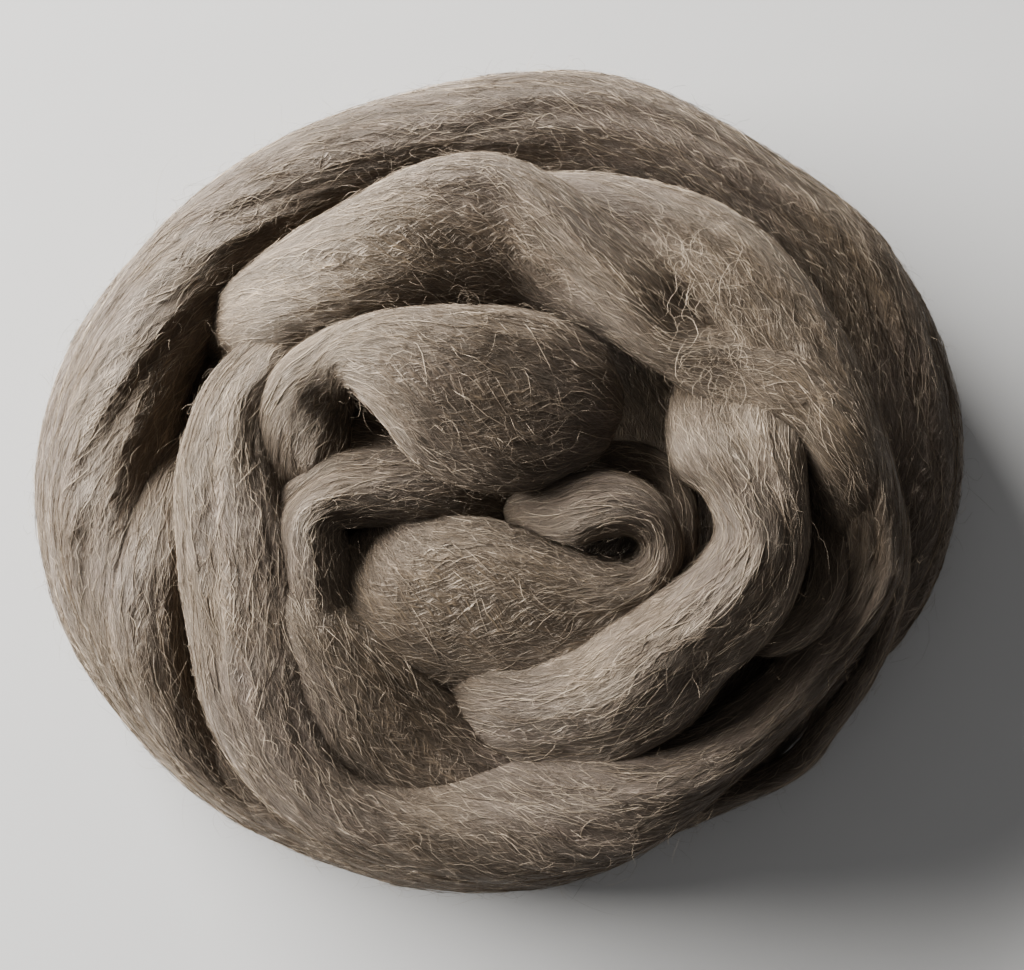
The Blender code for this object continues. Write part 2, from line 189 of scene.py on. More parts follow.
TOP_RING_SLANTS = [
    Slant(0.0, 8.0),
    Slant(0.45, 12.0),
    Slant(0.72, 12.0),
    Slant(0.85, 22.0),
    Slant(1.0, 10.0),
]
INNER_LOW_TURN = [
    Turn(-18, 106, 12, 10, 0, 22),
    Turn(0, 105, 15, 11, 0, 22),
    Turn(25, 99, 19, 12, -1, 22),
    Turn(50, 94, 24, 12, -2, 22),
    Turn(75, 89, 28, 15, -1, 22),
    Turn(92, 88, 23, 16, 8, 22),
]
SECOND_RING = [
    Turn(133, 55, 30, 12, 5, 26),
    Turn(150, 62, 39, 14, -6, 26),
    Turn(165, 67, 44, 20, -8, 26),
    Turn(180, 67, 45, 27, -10, 26),
    Turn(195, 67, 45, 30, -11, 26),
    Turn(212, 73, 43, 30, -10, 26),
    Turn(226, 83, 40, 28, -8, 26),
    Turn(242, 91, 37, 22, -8, 26),
    Turn(254, 91, 36, 22, -14, 26),
    Turn(272, 88, 37, 29, -18, 26),
    Turn(288, 88, 38, 28, -16, 26),
    Turn(306, 88, 38, 18, -8, 26),
    Turn(328, 92, 38, 15, 0, 26),
    Turn(346, 97, 42, 14, 3, 26),
    Turn(362, 89, 46, 19, 3, 26),
    Turn(380, 80, 50, 27, 0, 26),
    Turn(405, 74, 50, 28, 1, 26),
    Turn(425, 71, 46, 22, 6, 26),
    Turn(447, 70, 36, 15, 12, 26),
]
SECOND_RING_GROOVES = [
    Groove(0.30, 0.60, 150, 110, 1.0, 14),
    Groove(0.60, 0.86, 70, 120, 1.0, 12),
    Groove(0.74, 0.95, 60, 100, 1.3, 13),
]
SECOND_RING_SLANTS = [
    Slant(0.0, 0.0),
    Slant(0.25, 2.0),
    Slant(0.36, 10.0),
    Slant(0.43, 28.0),
    Slant(0.50, 24.0),
    Slant(0.58, 8.0),
    Slant(0.80, 6.0),
    Slant(1.0, 12.0),
]
SIDE_STRAND = [
    Fold(-77, 23, 8, -74, 15, 8, 24),
    Fold(-86, 8, 20, -77, 2, 20, 24),
    Fold(-92, -5, 27, -79, -7, 27, 24),
    Fold(-97, -20, 30, -79, -22, 31, 24),
    Fold(-99, -34, 30, -79, -36, 31, 24),
    Fold(-96, -47, 28, -77, -52, 29, 24),
    Fold(-87, -59, 25, -71, -65, 26, 24),
    Fold(-74, -72, 20, -60, -77, 20, 24),
    Fold(-55, -87, 14, -47, -84, 14, 24),
]
OUTER_WISP = [
    Fold(98, 2, 40, 93, 2, 40, 12),
    Fold(103, -14, 40, 98, -14, 40, 12),
    Fold(104, -28, 37, 99, -27, 37, 12),
    Fold(102, -41, 32, 98, -39, 32, 12),
    Fold(97, -54, 26, 93, -50, 26, 12),
    Fold(90, -65, 20, 85, -61, 20, 12),
    Fold(81, -77, 15, 77, -72, 15, 12),
    Fold(68, -84, 12, 65, -79, 12, 12),
    Fold(54, -89, 12, 52, -84, 12, 12),
    Fold(40, -94, 14, 38, -89, 14, 12),
]
INNER_STRAND = [
    Fold(-67, 18, 28, -59, 16, 28, 22),
    Fold(-62, 2, 34, -55, 0, 34, 22),
    Fold(-60, -14, 37, -50, -14, 37, 22),
    Fold(-57, -29, 40, -46, -26, 38, 22),
    Fold(-52, -44, 44, -38, -39, 40, 22),
    Fold(-47, -58, 44, -24, -47, 40, 22),
    Fold(-42, -69, 41, -12, -54, 38, 22),
    Fold(-30, -77, 36, 1, -62, 34, 22),
    Fold(-7, -80, 29, 16, -67, 28, 22),
    Fold(16, -81, 24, 32, -68, 24, 22),
]
BEND = [
    Fold(11, 1, 32, 3, -15, 34, 20),
    Fold(-14, 3, 44, -14, -12, 43, 20),
    Fold(-32, 4, 49, -28, -12, 46, 20),
    Fold(-45, 1, 50, -38, -13, 48, 20),
    Fold(-52, -7, 48, -39, -15, 50, 20),
    Fold(-52, -19, 46, -38, -21, 50, 20),
    Fold(-48, -31, 43, -37, -32, 46, 20),
    Fold(-44, -44, 39, -31, -40, 41, 20),
    Fold(-35, -57, 34, -22, -49, 34, 18),
    Fold(-23, -68, 27, -12, -57, 27, 14),
]
ARCH = [
    Fold(-75, 40, 2, -73, 28, 2, 12),
    Fold(-71, 46, 14, -69, 30, 16, 16),
    Fold(-66, 50, 30, -62, 30, 37, 18),
    Fold(-59, 54, 41, -54, 31, 49, 20),
    Fold(-49, 61, 47, -42, 34, 53, 20),
    Fold(-37, 68, 51, -30, 38, 53, 20),
    Fold(-24, 75, 56, -18, 41, 50, 20),
    Fold(-11, 78, 60, -6, 41, 46, 18),
    Fold(2, 77, 62, 6, 42, 42, 18),
    Fold(16, 68, 65, 16, 42, 41, 18),
    Fold(27, 57, 65, 24, 40, 44, 18),
    Fold(38, 46, 64, 32, 36, 47, 18),
    Fold(47, 37, 59, 39, 29, 50, 17),
    Fold(56, 35, 55, 47, 22, 52, 17),
    Fold(64, 34, 54, 58, 17, 52, 17),
    Fold(72, 33, 55, 68, 12, 54, 17),
    Fold(79, 29, 56, 76, 7, 55, 16),
    Fold(85, 21, 56, 80, -2, 55, 16),
    Fold(89, 11, 53, 84, -11, 51, 16),
    Fold(93, -1, 46, 89, -18, 43, 14),
    Fold(96, -11, 36, 94, -23, 34, 12),
]
ARCH_SLANTS = [
    Slant(0.0, -8.0),
    Slant(0.2, -14.0),
    Slant(0.42, -2.0),
    Slant(0.55, 6.0),
    Slant(0.7, 0.0),
    Slant(1.0, 0.0),
]
CENTRE_FOLD = [
    Fold(-54, -11, 31, -45, -5, 31, 12),
    Fold(-57, -5, 43, -42, -1, 43, 12),
    Fold(-59, 4, 49, -40, 3, 49, 12),
    Fold(-59, 13, 53, -38, 7, 49, 12),
    Fold(-57, 20, 56, -38, 12, 47, 12),
    Fold(-52, 27, 59, -37, 17, 47, 12),
    Fold(-46, 31, 61, -36, 20, 50, 13),
    Fold(-39, 35, 63, -33, 21, 56, 14),
    Fold(-30, 38, 64, -28, 13, 61, 16),
    Fold(-18, 40, 64, -21, 3, 63, 18),
    Fold(-7, 40, 64, -14, -2, 62, 18),
    Fold(3, 40, 61, -4, -5, 61, 18),
    Fold(14, 38, 58, 7, -5, 58, 18),
    Fold(23, 33, 52, 20, 1, 54, 18),
    Fold(28, 23, 44, 27, 9, 44, 18),
]
UNDER_FOLD = [
    Fold(-56, -6, 32, -52, 15, 32, 14),
    Fold(-45, -3, 40, -41, 14, 34, 14),
    Fold(-33, -1, 43, -32, 20, 33, 14),
    Fold(-22, -2, 43, -22, 10, 35, 14),
    Fold(-9, -4, 40, -10, 5, 31, 14),
]
CURL = [
    Fold(-23, -11, 38, -42, -15, 39, 14),
    Fold(-21, -12, 43, -41, -28, 42, 16),
    Fold(-18, -12, 49, -35, -41, 43, 18),
    Fold(-13, -12, 52, -22, -49, 43, 18),
    Fold(-4, -12, 54, -9, -52, 42, 18),
    Fold(7, -15, 55, 6, -53, 41, 18),
    Fold(18, -19, 54, 23, -48, 42, 18),
    Fold(27, -22, 53, 33, -36, 45, 18),
    Fold(33, -22, 52, 40, -28, 47, 16),
    Fold(36, -19, 53, 45, -18, 50, 14),
    Fold(34, -16, 55, 41, -7, 52, 14),
    Fold(27, -16, 57, 29, 0, 53, 14),
    Fold(19, -18, 55, 16, -2, 52, 14),
    Fold(12, -15, 49, 9, -4, 46, 14),
    Fold(7, -11, 38, 3, -6, 36, 12),
]
WRAP = [
    Fold(11, 7, 36, 14, -3, 36, 14),
    Fold(26, 9, 40, 28, -1, 40, 14),
    Fold(40, 7, 42, 38, -4, 42, 14),
    Fold(49, -1, 43, 43, -9, 43, 14),
    Fold(51, -14, 43, 44, -16, 43, 14),
    Fold(49, -25, 42, 43, -24, 42, 14),
    Fold(40, -35, 40, 35, -31, 40, 14),
    Fold(26, -44, 36, 24, -39, 36, 14),
]
INNER_LOOP = [
    Fold(68, 33, 36, 50, 31, 36, 14),
    Fold(71, 23, 41, 46, 21, 40, 18),
    Fold(74, 13, 47, 43, 11, 50, 22),
    Fold(75, 4, 53, 45, 1, 57, 24),
    Fold(76, -6, 54, 52, -6, 58, 24),
    Fold(76, -15, 52, 55, -15, 59, 24),
    Fold(74, -27, 50, 52, -21, 59, 24),
    Fold(68, -38, 48, 43, -29, 58, 24),
    Fold(57, -49, 46, 33, -36, 57, 24),
    Fold(48, -60, 44, 26, -41, 56, 24),
    Fold(39, -66, 42, 21, -45, 54, 22),
    Fold(30, -70, 40, 15, -47, 52, 20),
    Fold(19, -71, 38, 8, -49, 50, 18),
    Fold(9, -71, 36, -1, -48, 47, 18),
    Fold(1, -68, 33, -9, -47, 42, 16),
    Fold(-8, -59, 28, -15, -42, 35, 14),
    Fold(-16, -50, 20, -21, -36, 28, 12),
]
INNER_LOOP_GROOVES = [
    Groove(0.05, 0.40, 120, 60, 1.4, 13),
    Groove(0.45, 0.85, 80, 60, 1.0, 13),
]
TUCK = [
    Fold(88, 2, 34, 79, 1, 34, 14),
    Fold(88, -9, 41, 78, -10, 41, 14),
    Fold(88, -19, 46, 78, -20, 46, 14),
    Fold(86, -31, 49, 76, -29, 49, 14),
    Fold(81, -39, 50, 73, -33, 50, 14),
    Fold(74, -44, 49, 68, -37, 49, 14),
    Fold(66, -46, 42, 65, -38, 42, 12),
]
PIT_STRAND = [
    Fold(52, 45, 10, 32, 45, 10, 16),
    Fold(53, 28, 12, 29, 30, 12, 16),
    Fold(52, 15, 12, 29, 15, 12, 16),
    Fold(49, 1, 10, 33, 1, 10, 16),
]

# A blend says how far apart, in millimetres, two stretches still swell softly into each other.
Blend = namedtuple("Blend", "one other reach")
SOFT_REACH = 5.0
BLENDS = [
    Blend("second ring", "arch", 6.0),
    Blend("bend", "inner strand", 14.0),
    Blend("inner strand", "second ring", 12.0),
    Blend("curl", "inner strand", 10.0),
    Blend("wrap", "curl", 8.0),
    Blend("top ring", "side strand", 9.0),
    Blend("side strand", "second ring", 7.0),
    Blend("second ring", "outer wisp", 8.0),
    Blend("second ring", "low ring", 9.0),
    Blend("top ring", "low ring", 12.0),
    Blend("under fold", "bend", 16.0),
    Blend("under fold", "centre fold", 10.0),
    Blend("inner loop", "arch", 10.0),
]

RING_STRETCHES = [
    Stretch("low ring", LOW_RING, 1.0, 3.5, 80, slants=[Slant(0.0, 6.0), Slant(1.0, 6.0)]),
    Stretch("middle ring", MIDDLE_RING, 1.0, 5.0, 48),
    Stretch("top ring", TOP_RING, 1.0, 2.5, 104, TOP_RING_GROOVES, TOP_RING_SLANTS),
    Stretch("inner low turn", INNER_LOW_TURN, 0.8, 2.8, 64, slants=[Slant(0.0, 4.0), Slant(1.0, 8.0)]),
    Stretch("second ring", SECOND_RING, 1.0, 2.5, 104, SECOND_RING_GROOVES, SECOND_RING_SLANTS),
]
FOLD_STRETCHES = [
    Stretch("side strand", SIDE_STRAND, 0.8, 2.5, 64),
    Stretch("outer wisp", OUTER_WISP, 0.5, 2.5, 40, roundness=2.0),
    Stretch("inner strand", INNER_STRAND, 0.8, 2.5, 72),
    Stretch("bend", BEND, 0.8, 2.2, 72),
    Stretch("arch", ARCH, 0.9, 2.2, 96, slants=ARCH_SLANTS),
    Stretch("centre fold", CENTRE_FOLD, 0.7, 2.0, 88, slants=[Slant(0.0, 0.0), Slant(1.0, -10.0)]),
    Stretch("under fold", UNDER_FOLD, 0.6, 2.5, 48),
    Stretch("curl", CURL, 0.8, 2.0, 88),
    Stretch("wrap", WRAP, 0.6, 2.5, 48),
    Stretch("inner loop", INNER_LOOP, 1.0, 2.0, 104, INNER_LOOP_GROOVES),
    Stretch("tuck", TUCK, 0.6, 2.5, 48),
    Stretch("pit strand", PIT_STRAND, 0.8, 3.0, 48),
]

# Fibres of one layer: how long and wide they are, how far in degrees they stray from the strand's run,
# how much they bow and crimp sideways, how deep or proud they lie, how much their ends lift, how many
# points each has, and the share of each shade from pale to dark. Lengths are in millimetres.
Laid = namedtuple("Laid", "name length width stray bow crimp sunk proud lift points tones")
LAYERS = [
    Laid("fibres_middle", 13.0, 1.2, 8.0, 1.1, 0.25, 0.02, 0.20, 0.12, 5, (0.32, 0.40, 0.21, 0.07)),
    Laid("fibres_loose", 8.0, 1.05, 15.0, 1.4, 0.38, 0.08, 0.40, 0.35, 5, (0.30, 0.46, 0.20, 0.04)),
]

# How fibres vary: their width as shares of their layer's, and how much of it is lost at the tips.
FIBRE_SIDES = 3
COPIES_APART = 3.0
FIBRE_WIDTHS = (0.6, 1.45)
TIP_THINNING = 0.55

# How laid fibres vary: their length and crimp as shares of their layer's, the most of its stretch that
# one takes up, how far it stays from the ends, and the crimp's waves in radians a millimetre.
LAID_LENGTHS = (0.45, 1.35)
CRIMP_SHARES = (0.3, 1.0)
LONGEST_LAID = 0.6
END_MARGIN = 0.5
CRIMP_RATE = 0.8

# Stray fibres also have how steeply they rise in degrees and how much they curl, in half turns.
Stray = namedtuple("Stray", "name length width rise stray curl points tones")
STRAYS = [
    Stray("fibres_down", 4.6, 0.8, 12.0, 20.0, 0.7, 5, (0.24, 0.48, 0.22, 0.06)),
    Stray("fibres_fuzz", 5.2, 0.75, 38.0, 34.0, 1.0, 5, (0.24, 0.46, 0.24, 0.06)),
    Stray("fibres_stray", 7.0, 0.65, 42.0, 42.0, 1.1, 9, (0.34, 0.44, 0.18, 0.04)),
]

# How stray fibres vary: the spread of their lengths, the least rise in degrees, and the share of the
# rise that is lost by the middle. Each starts a little inside the skin, off a stretch's ends, and takes
# its run from a place a little way ahead. It curls evenly, with its own heading at one share of its
# length, and waves as well.
STRAY_LENGTH_SPREAD = 0.45
LEAST_RISE = 4.0
STRAY_LEVELLING = (0.25, 1.15)
STRAY_ROOT = 0.3
STRAY_MARGIN = 2.0
STRAY_AHEAD = 1.5
CURL_CENTRE = 0.3
WAVE_HEIGHT = 0.35
WAVE_RATE = 5.0

# The little tangle of curled fibres beside the arch and over the start of the inner loop: how many
# there are, the line that they lie along and how far from it they spread. Then how much their lengths,
# turns and rises vary, and how much of its rise a fibre keeps from point to point.
TANGLE = Stray("fibres_tangle", 13.0, 1.4, 0.0, 0.0, 1.1, 13, (0.80, 0.20, 0.0, 0.0))
TANGLE_COUNT = 130
TANGLE_LINE = [(40.0, 60.0, 70.0), (53.0, 34.0, 66.0), (56.0, 12.0, 60.0)]
TANGLE_SPREAD = (3.2, 3.0, 0.7)
TANGLE_LENGTH_SPREAD = 0.35
TANGLE_TURN = 0.32
TANGLE_RISE = 0.12
RISE_CHANGE = 0.05
RISE_KEPT = 0.8

# A direction that no fibre is likely to run along, from which the sides of stray fibres are laid out.
ANY_WAY = (0.31, 0.52, 0.79)

# Fibres lie only where the skin shows. It is looked at from these heights in degrees, so many times
# from each, and one height's looks fall between the others'. A look starts a little off the skin and
# has to meet it this squarely. A patch is so many sections long and sides wide, and none lies right at
# the floor.
LOOKS = ((75, 3), (40, 6), (12, 8))
HALF_TURNED = 40
LOOK_START = 0.5
LEAST_FACING = 0.05
PATCH_STEP = 3
BARE_HEIGHT = 0.5

# ---- finish ----
# Streaks of the finish: how many a metre along and across the strand, how far they waver in metres, how
# many finer streaks they hold, and how far they slant across it for each metre along it.
Streak = namedtuple("Streak", "along across waver detail slant")
FINE_STREAKS = [
    Streak(170.0, 2500.0, 0.0010, 3.0, 0.0),
    Streak(190.0, 2700.0, 0.0014, 3.0, 0.30),
    Streak(190.0, 2700.0, 0.0014, 3.0, -0.36),
]
LOCK_STREAKS = Streak(26.0, 420.0, 0.0024, 4.0, 0.0)
BROAD_STREAKS = Streak(14.0, 110.0, 0.0080, 2.0, 0.0)
SWAY_PER_METRE = 160.0

# Streaks and mottling mostly keep to this span of values, and the fine streaks together to the next.
NOISE_SPAN = (0.3, 0.7)
STREAK_SPAN = (0.48, 0.70)

# The fine streaks and the locks are weighed together for the colour and for the relief. The colour goes
# from a dark painted shade in the gaps between fibres through brown to pale at these values, and is
# made lighter or darker at random along the broad streaks.
COLOUR_WEIGHTS = (0.70, 0.30)
RELIEF_WEIGHTS = (0.80, 0.20)
GAP_SHADE_AT = 0.49
BROWN_AT = 0.585
PALE_AT = 0.69
RELIEF_HEIGHT = 0.0018
BROAD_SHADES = (0.78, 1.18)

# Over the whole nest the wool is here warmer and there cooler.
FLEECE_PER_METRE = 16.0
WARM_CAST = (1.07, 0.99, 0.86)
WARM_AT = 0.42
COOL_CAST = (0.95, 0.92, 1.0)
COOL_AT = 0.58

# Roughness goes from the gaps to the tops of the fibres, and along a single fibre it comes and goes.
WOOL_ROUGHNESS = (0.66, 0.30)
FIBRE_ROUGHNESS = (0.34, 0.58)
FIBRE_GLOSS_PER_METRE = 220.0
WOOL_GLOSS = 0.7
FIBRE_GLOSS = 0.6
WARM_GLOSS = (1.0, 0.83, 0.65)
BLOOM = 0.12
BOARD_PER_METRE = 60.0
BOARD_SHADE = 0.97

# ---- stage, in metres ----
FLOOR_SIZE = 4.0
KEY_SIZE = (2.2, 1.1)
KEY_PLACE = (-1.46, 0.91, 0.46)
KEY_AIM = (0.0, 0.0, 0.02)
SKY_COLOUR = (0.95, 0.965, 1.0)
LENS = 69.0
SENSOR = 36.0
CAMERA_TILT = 4.0
CAMERA_PLACE = (0.005544, -0.036426, 0.538678)


# ---------------------------------------------------------------------------------------------
# Routes of the strand
# ---------------------------------------------------------------------------------------------


def smooth_path(rows, positions, step):
    """Rows read along a smooth curve through all of them, at even steps, and the length at each step."""
    steps = np.linalg.norm(np.diff(positions, axis=0), axis=1)
    knots = np.concatenate([[0.0], np.cumsum(steps)])
    slopes = np.empty_like(rows)
    slopes[0] = (rows[1] - rows[0]) / steps[0]
    slopes[-1] = (rows[-1] - rows[-2]) / steps[-1]
    before = (rows[1:-1] - rows[:-2]) / steps[:-1, None]
    after = (rows[2:] - rows[1:-1]) / steps[1:, None]
    weight = (steps[:-1] / (steps[:-1] + steps[1:]))[:, None]
    slopes[1:-1] = before * (1.0 - weight) + after * weight
    count = max(8, round(knots[-1] / step))
    along = np.linspace(0.0, knots[-1], count)
    piece = np.clip(np.searchsorted(knots, along, side="right") - 1, 0, len(rows) - 2)
    span = steps[piece][:, None]
    t = (along[:, None] - knots[piece][:, None]) / span
    path = (2 * t**3 - 3 * t**2 + 1) * rows[piece] + (t**3 - 2 * t**2 + t) * span * slopes[piece]
    path += (3 * t**2 - 2 * t**3) * rows[piece + 1] + (t**3 - t**2) * span * slopes[piece + 1]
    return path, along


def unit(vectors):
    size = np.linalg.norm(vectors, axis=-1, keepdims=True)
    return vectors / np.maximum(size, 1e-9)


def ring_route(turns, step):
    """Middle, half-width vector and thickness along a ring."""
    rows = np.array(turns, float)
    turn = np.radians(rows[:, 0])
    places = np.column_stack([rows[:, 1] * np.cos(turn), rows[:, 1] * np.sin(turn), rows[:, 2]])
    path, along = smooth_path(rows, places, step)
    turn = np.radians(path[:, 0])
    middle = np.column_stack([path[:, 1] * np.cos(turn), path[:, 1] * np.sin(turn), path[:, 2]])
    forward = np.gradient(middle, axis=0)
    forward[:, 2] = 0.0
    forward = unit(forward)
    outward = np.column_stack([forward[:, 1], -forward[:, 0], np.zeros(len(forward))])
    lean = np.radians(path[:, 4])[:, None]
    half = outward * np.cos(lean) + np.array([[0.0, 0.0, 1.0]]) * np.sin(lean)
    return middle, half * path[:, 3:4] / 2, path[:, 5], along


def fold_route(folds, step):
    """Middle, half-width vector and thickness along a free stretch."""
    rows = np.array(folds, float)
    path, along = smooth_path(rows, (rows[:, 0:3] + rows[:, 3:6]) / 2, step)
    middle = (path[:, 0:3] + path[:, 3:6]) / 2
    return middle, (path[:, 0:3] - path[:, 3:6]) / 2, path[:, 6], along


def rounded_tips(along):
    """A factor for each section, which rounds off both ends of a stretch."""
    first = np.clip(along / TIP_LENGTH, 0.0, 1.0)
    last = np.clip((along[-1] - along) / TIP_LENGTH, 0.0, 1.0)
    factor = np.sqrt(1.0 - (1.0 - first) ** 2) * np.sqrt(1.0 - (1.0 - last) ** 2)
    return np.maximum(factor, LEAST_TIP)


def squared_rims(half, up, around, roundness):
    """Each section's rim from its middle: an ellipse at a roundness of 2, and squarer above that."""
    power = 2 / roundness
    across = np.sign(np.cos(around)) * np.abs(np.cos(around)) ** power
    over = np.sign(np.sin(around)) * np.abs(np.sin(around)) ** power
    return half[:, None] * across[None, :, None] + up[:, None] * over[None, :, None]


class Surface:
    """The skin of one stretch, as a grid of sections by sides, in millimetres."""

    def __init__(self, number, stretch):
        self.name = stretch.name
        self.sides = stretch.sides
        chance = np.random.default_rng(LOCK_SEED + LOCK_SEED_STEP * number)
        route = ring_route if isinstance(stretch.rows[0], Turn) else fold_route
        middle, half, thick, along = route(stretch.rows, stretch.step)
        upward = unit(np.cross(np.gradient(middle, axis=0), half))
        if upward[len(upward) // 2, 2] < 0:
            upward = -upward
        around = np.linspace(0.0, 2 * math.pi, self.sides, endpoint=False)
        offsets = squared_rims(half, upward * (thick / 2)[:, None], around, stretch.roundness)
        reach = np.linalg.norm(offsets, axis=2)
        self.along = along
        self.length = along[-1]
        self.mean_radius = float(reach.mean())
        self.drift = self.slanted(stretch.slants)
        change = self.creases(stretch, around) + self.locks(chance, around, stretch.relief)
        change = np.clip(change, CREASE_LIMITS[0] * reach, CREASE_LIMITS[1] * reach)
        offsets = offsets * (1.0 + change / reach)[:, :, None]
        self.middle = middle
        self.settle(middle[:, None] + offsets * rounded_tips(along)[:, None, None])

    def settle(self, points):
        """Takes these points as the skin, kept above the floor, and finds which way it faces."""
        points[:, :, 2] = np.maximum(points[:, :, 2], FLOOR_GAP)
        self.points = points
        lengthwise = np.gradient(points, axis=0)
        sideways = np.roll(points, -1, axis=1) - np.roll(points, 1, axis=1)
        outward = unit(np.cross(lengthwise, sideways))
        facing = np.sum(outward * (points - self.middle[:, None]), axis=2, keepdims=True)
        self.outward = np.where(facing < 0, -outward, outward)

    def tree(self):
        """A search tree of this skin alone, with its faces turned outwards."""
        points = self.points.reshape(-1, 3)
        quads = ring_quads(*self.points.shape[:2])
        corners = points[quads]
        facing = np.cross(corners[:, 1] - corners[:, 0], corners[:, 2] - corners[:, 0])
        if np.sum(facing * self.outward.reshape(-1, 3)[quads[:, 0]]) < 0:
            quads = quads[:, ::-1]
        return BVHTree.FromPolygons(points.tolist(), quads.tolist())

    def slanted(self, slants):
        """How far round the section the fibres have drifted at each station, in radians."""
        shares = [slant.share for slant in slants]
        slopes = [math.tan(math.radians(slant.degrees)) for slant in slants]
        slope = np.interp(self.along / self.length, shares, slopes)
        step = self.along[1]
        return -np.concatenate([[0.0], np.cumsum((slope[1:] + slope[:-1]) / 2 * step)]) / self.mean_radius

    def creases(self, stretch, around):
        """The main lengthwise creases between the strand's halves."""
        share = self.along / self.length
        total = np.zeros((len(share), self.sides))
        for groove in stretch.grooves:
            place = (share - groove.start) / (groove.end - groove.start)
            fade = np.clip(np.minimum(place, 1.0 - place) * GROOVE_FADE, 0.0, 1.0)
            centre = np.radians(groove.angle1 + (groove.angle2 - groove.angle1) * place)
            apart = (around[None, :] - centre[:, None]) / math.radians(groove.breadth)
            total -= groove.depth * fade[:, None] * np.exp(-(apart**2))
        return total

    def locks(self, chance, around, relief):
        """Low ridges and troughs where fibres lie together in locks, each on its own drifting line."""
        total = np.zeros((len(self.along), self.sides))
        for lock in LOCKS:
            area = 2 * math.pi * self.mean_radius * self.length
            count = int(lock.cover * area / (lock.length * lock.width))
            where = chance.uniform(*LOCK_PLACES, count) * self.length
            side = chance.uniform(0, 2 * math.pi, count)
            long = lock.length * chance.uniform(*LOCK_LENGTHS, count)
            wide = lock.width * chance.uniform(*LOCK_WIDTHS, count) / self.mean_radius
            tall = lock.height * relief * chance.normal(0.0, 1.0, count)
            wander = chance.normal(0.0, LOCK_WANDER, count) / self.mean_radius
            for k in range(count):
                near = (self.along - where[k]) / long[k]
                some = np.nonzero(np.abs(near) < 1.0)[0]
                if len(some) < 2:
                    continue
                line = side[k] + self.drift[some] - np.interp(where[k], self.along, self.drift)
                line = line + wander[k] * (self.along[some] - where[k])
                apart = (around[None, :] - line[:, None] + math.pi) % (2 * math.pi) - math.pi
                window = np.cos(near[some] * math.pi / 2) ** 2
                total[some] += tall[k] * window[:, None] * np.exp(-((apart / wide[k]) ** 2) * 2.0)
        return total

    def at(self, along, angle):
        """Points and outward directions at lengths along and angles round the stretch."""
        rows = len(self.along)
        place = np.clip(along / self.length, 0.0, 1.0) * (rows - 1)
        low = np.minimum(place.astype(int), rows - 2)
        part = (place - low)[..., None]
        side = (angle / (2 * math.pi) * self.sides) % self.sides
        left = side.astype(int) % self.sides
        right = (left + 1) % self.sides
        turn = (side - np.floor(side))[..., None]
        found = []
        for grid in (self.points, self.outward):
            near = grid[low, left] * (1 - turn) + grid[low, right] * turn
            far = grid[low + 1, left] * (1 - turn) + grid[low + 1, right] * turn
            found.append(near * (1 - part) + far * part)
        return found[0], unit(found[1])

    def drift_at(self, along):
        return np.interp(along, self.along, self.drift)


def ring_quads(rows, sides):
    """Corner numbers of the quads between rings of points."""
    row, side = np.meshgrid(np.arange(rows - 1), np.arange(sides), indexing="ij")
    here = row * sides + side
    after = row * sides + (side + 1) % sides
    return np.stack([here, after, after + sides, here + sides], axis=-1).reshape(-1, 4)


def pressed(points, other, tree, reach):
    """How far a skin swells at each point to meet another skin that lies within reach."""
    low = other.points.min(axis=(0, 1)) - reach
    high = other.points.max(axis=(0, 1)) + reach
    swell = np.zeros(len(points))
    for k in np.nonzero(np.all((points > low) & (points < high), axis=1))[0]:
        place, facing, _face, apart = tree.find_nearest(points[k], reach)
        if place is None:
            continue
        if facing.dot(Vector(points[k]) - place) < 0:
            swell[k] = reach / 4 * max(0.0, 1.0 - apart / reach)
        else:
            swell[k] = (reach - apart) ** 2 / (4 * reach)
    return swell


def filled_in(coarse, rows, stations, sides):
    """Values found at some sections and sides, read between them for every section and side."""
    wide = np.concatenate([coarse, coarse[:, :1]], axis=1)
    around = np.arange(sides) / SWELL_STEP
    left = around.astype(int)
    part = around - left
    full = wide[:, left] * (1 - part) + wide[:, left + 1] * part
    spots = np.arange(stations)
    upper = np.clip(np.searchsorted(rows, spots), 1, len(rows) - 1)
    share = (spots - rows[upper - 1]) / (rows[upper] - rows[upper - 1])
    return full[upper - 1] * (1 - share)[:, None] + full[upper] * share[:, None]


def softened(values):
    """A grid of values, each evened out with its neighbours along and round the strand."""
    for _round in range(SOFTENINGS):
        values = (np.roll(values, 1, axis=1) + 2 * values + np.roll(values, -1, axis=1)) / 4
        inner = (values[:-2] + 2 * values[1:-1] + values[2:]) / 4
        values = np.concatenate([values[:1], inner, values[-1:]])
    return values


def blended(surfaces):
    """Swells the skins into each other where they meet, so that the turns press together softly."""
    reaches = {frozenset((blend.one, blend.other)): blend.reach for blend in BLENDS}
    trees = [surface.tree() for surface in surfaces]
    swells = []
    for surface in surfaces:
        stations = len(surface.along)
        rows = np.unique(np.append(np.arange(0, stations, SWELL_STEP), stations - 1))
        columns = np.arange(0, surface.sides, SWELL_STEP)
        points = surface.points[np.ix_(rows, columns)].reshape(-1, 3)
        swell = np.zeros(len(points))
        for other, tree in zip(surfaces, trees):
            if other is not surface:
                reach = reaches.get(frozenset((surface.name, other.name)), SOFT_REACH)
                swell += pressed(points, other, tree, reach)
        swell = np.minimum(swell, MOST_SWELL).reshape(len(rows), len(columns))
        full = softened(filled_in(swell, rows, stations, surface.sides))
        swells.append(full * rounded_tips(surface.along)[:, None])
    for surface, swell in zip(surfaces, swells):
        surface.settle(surface.points + surface.outward * swell[..., None])
    return surfaces


# ---------------------------------------------------------------------------------------------
# Meshes
# ---------------------------------------------------------------------------------------------


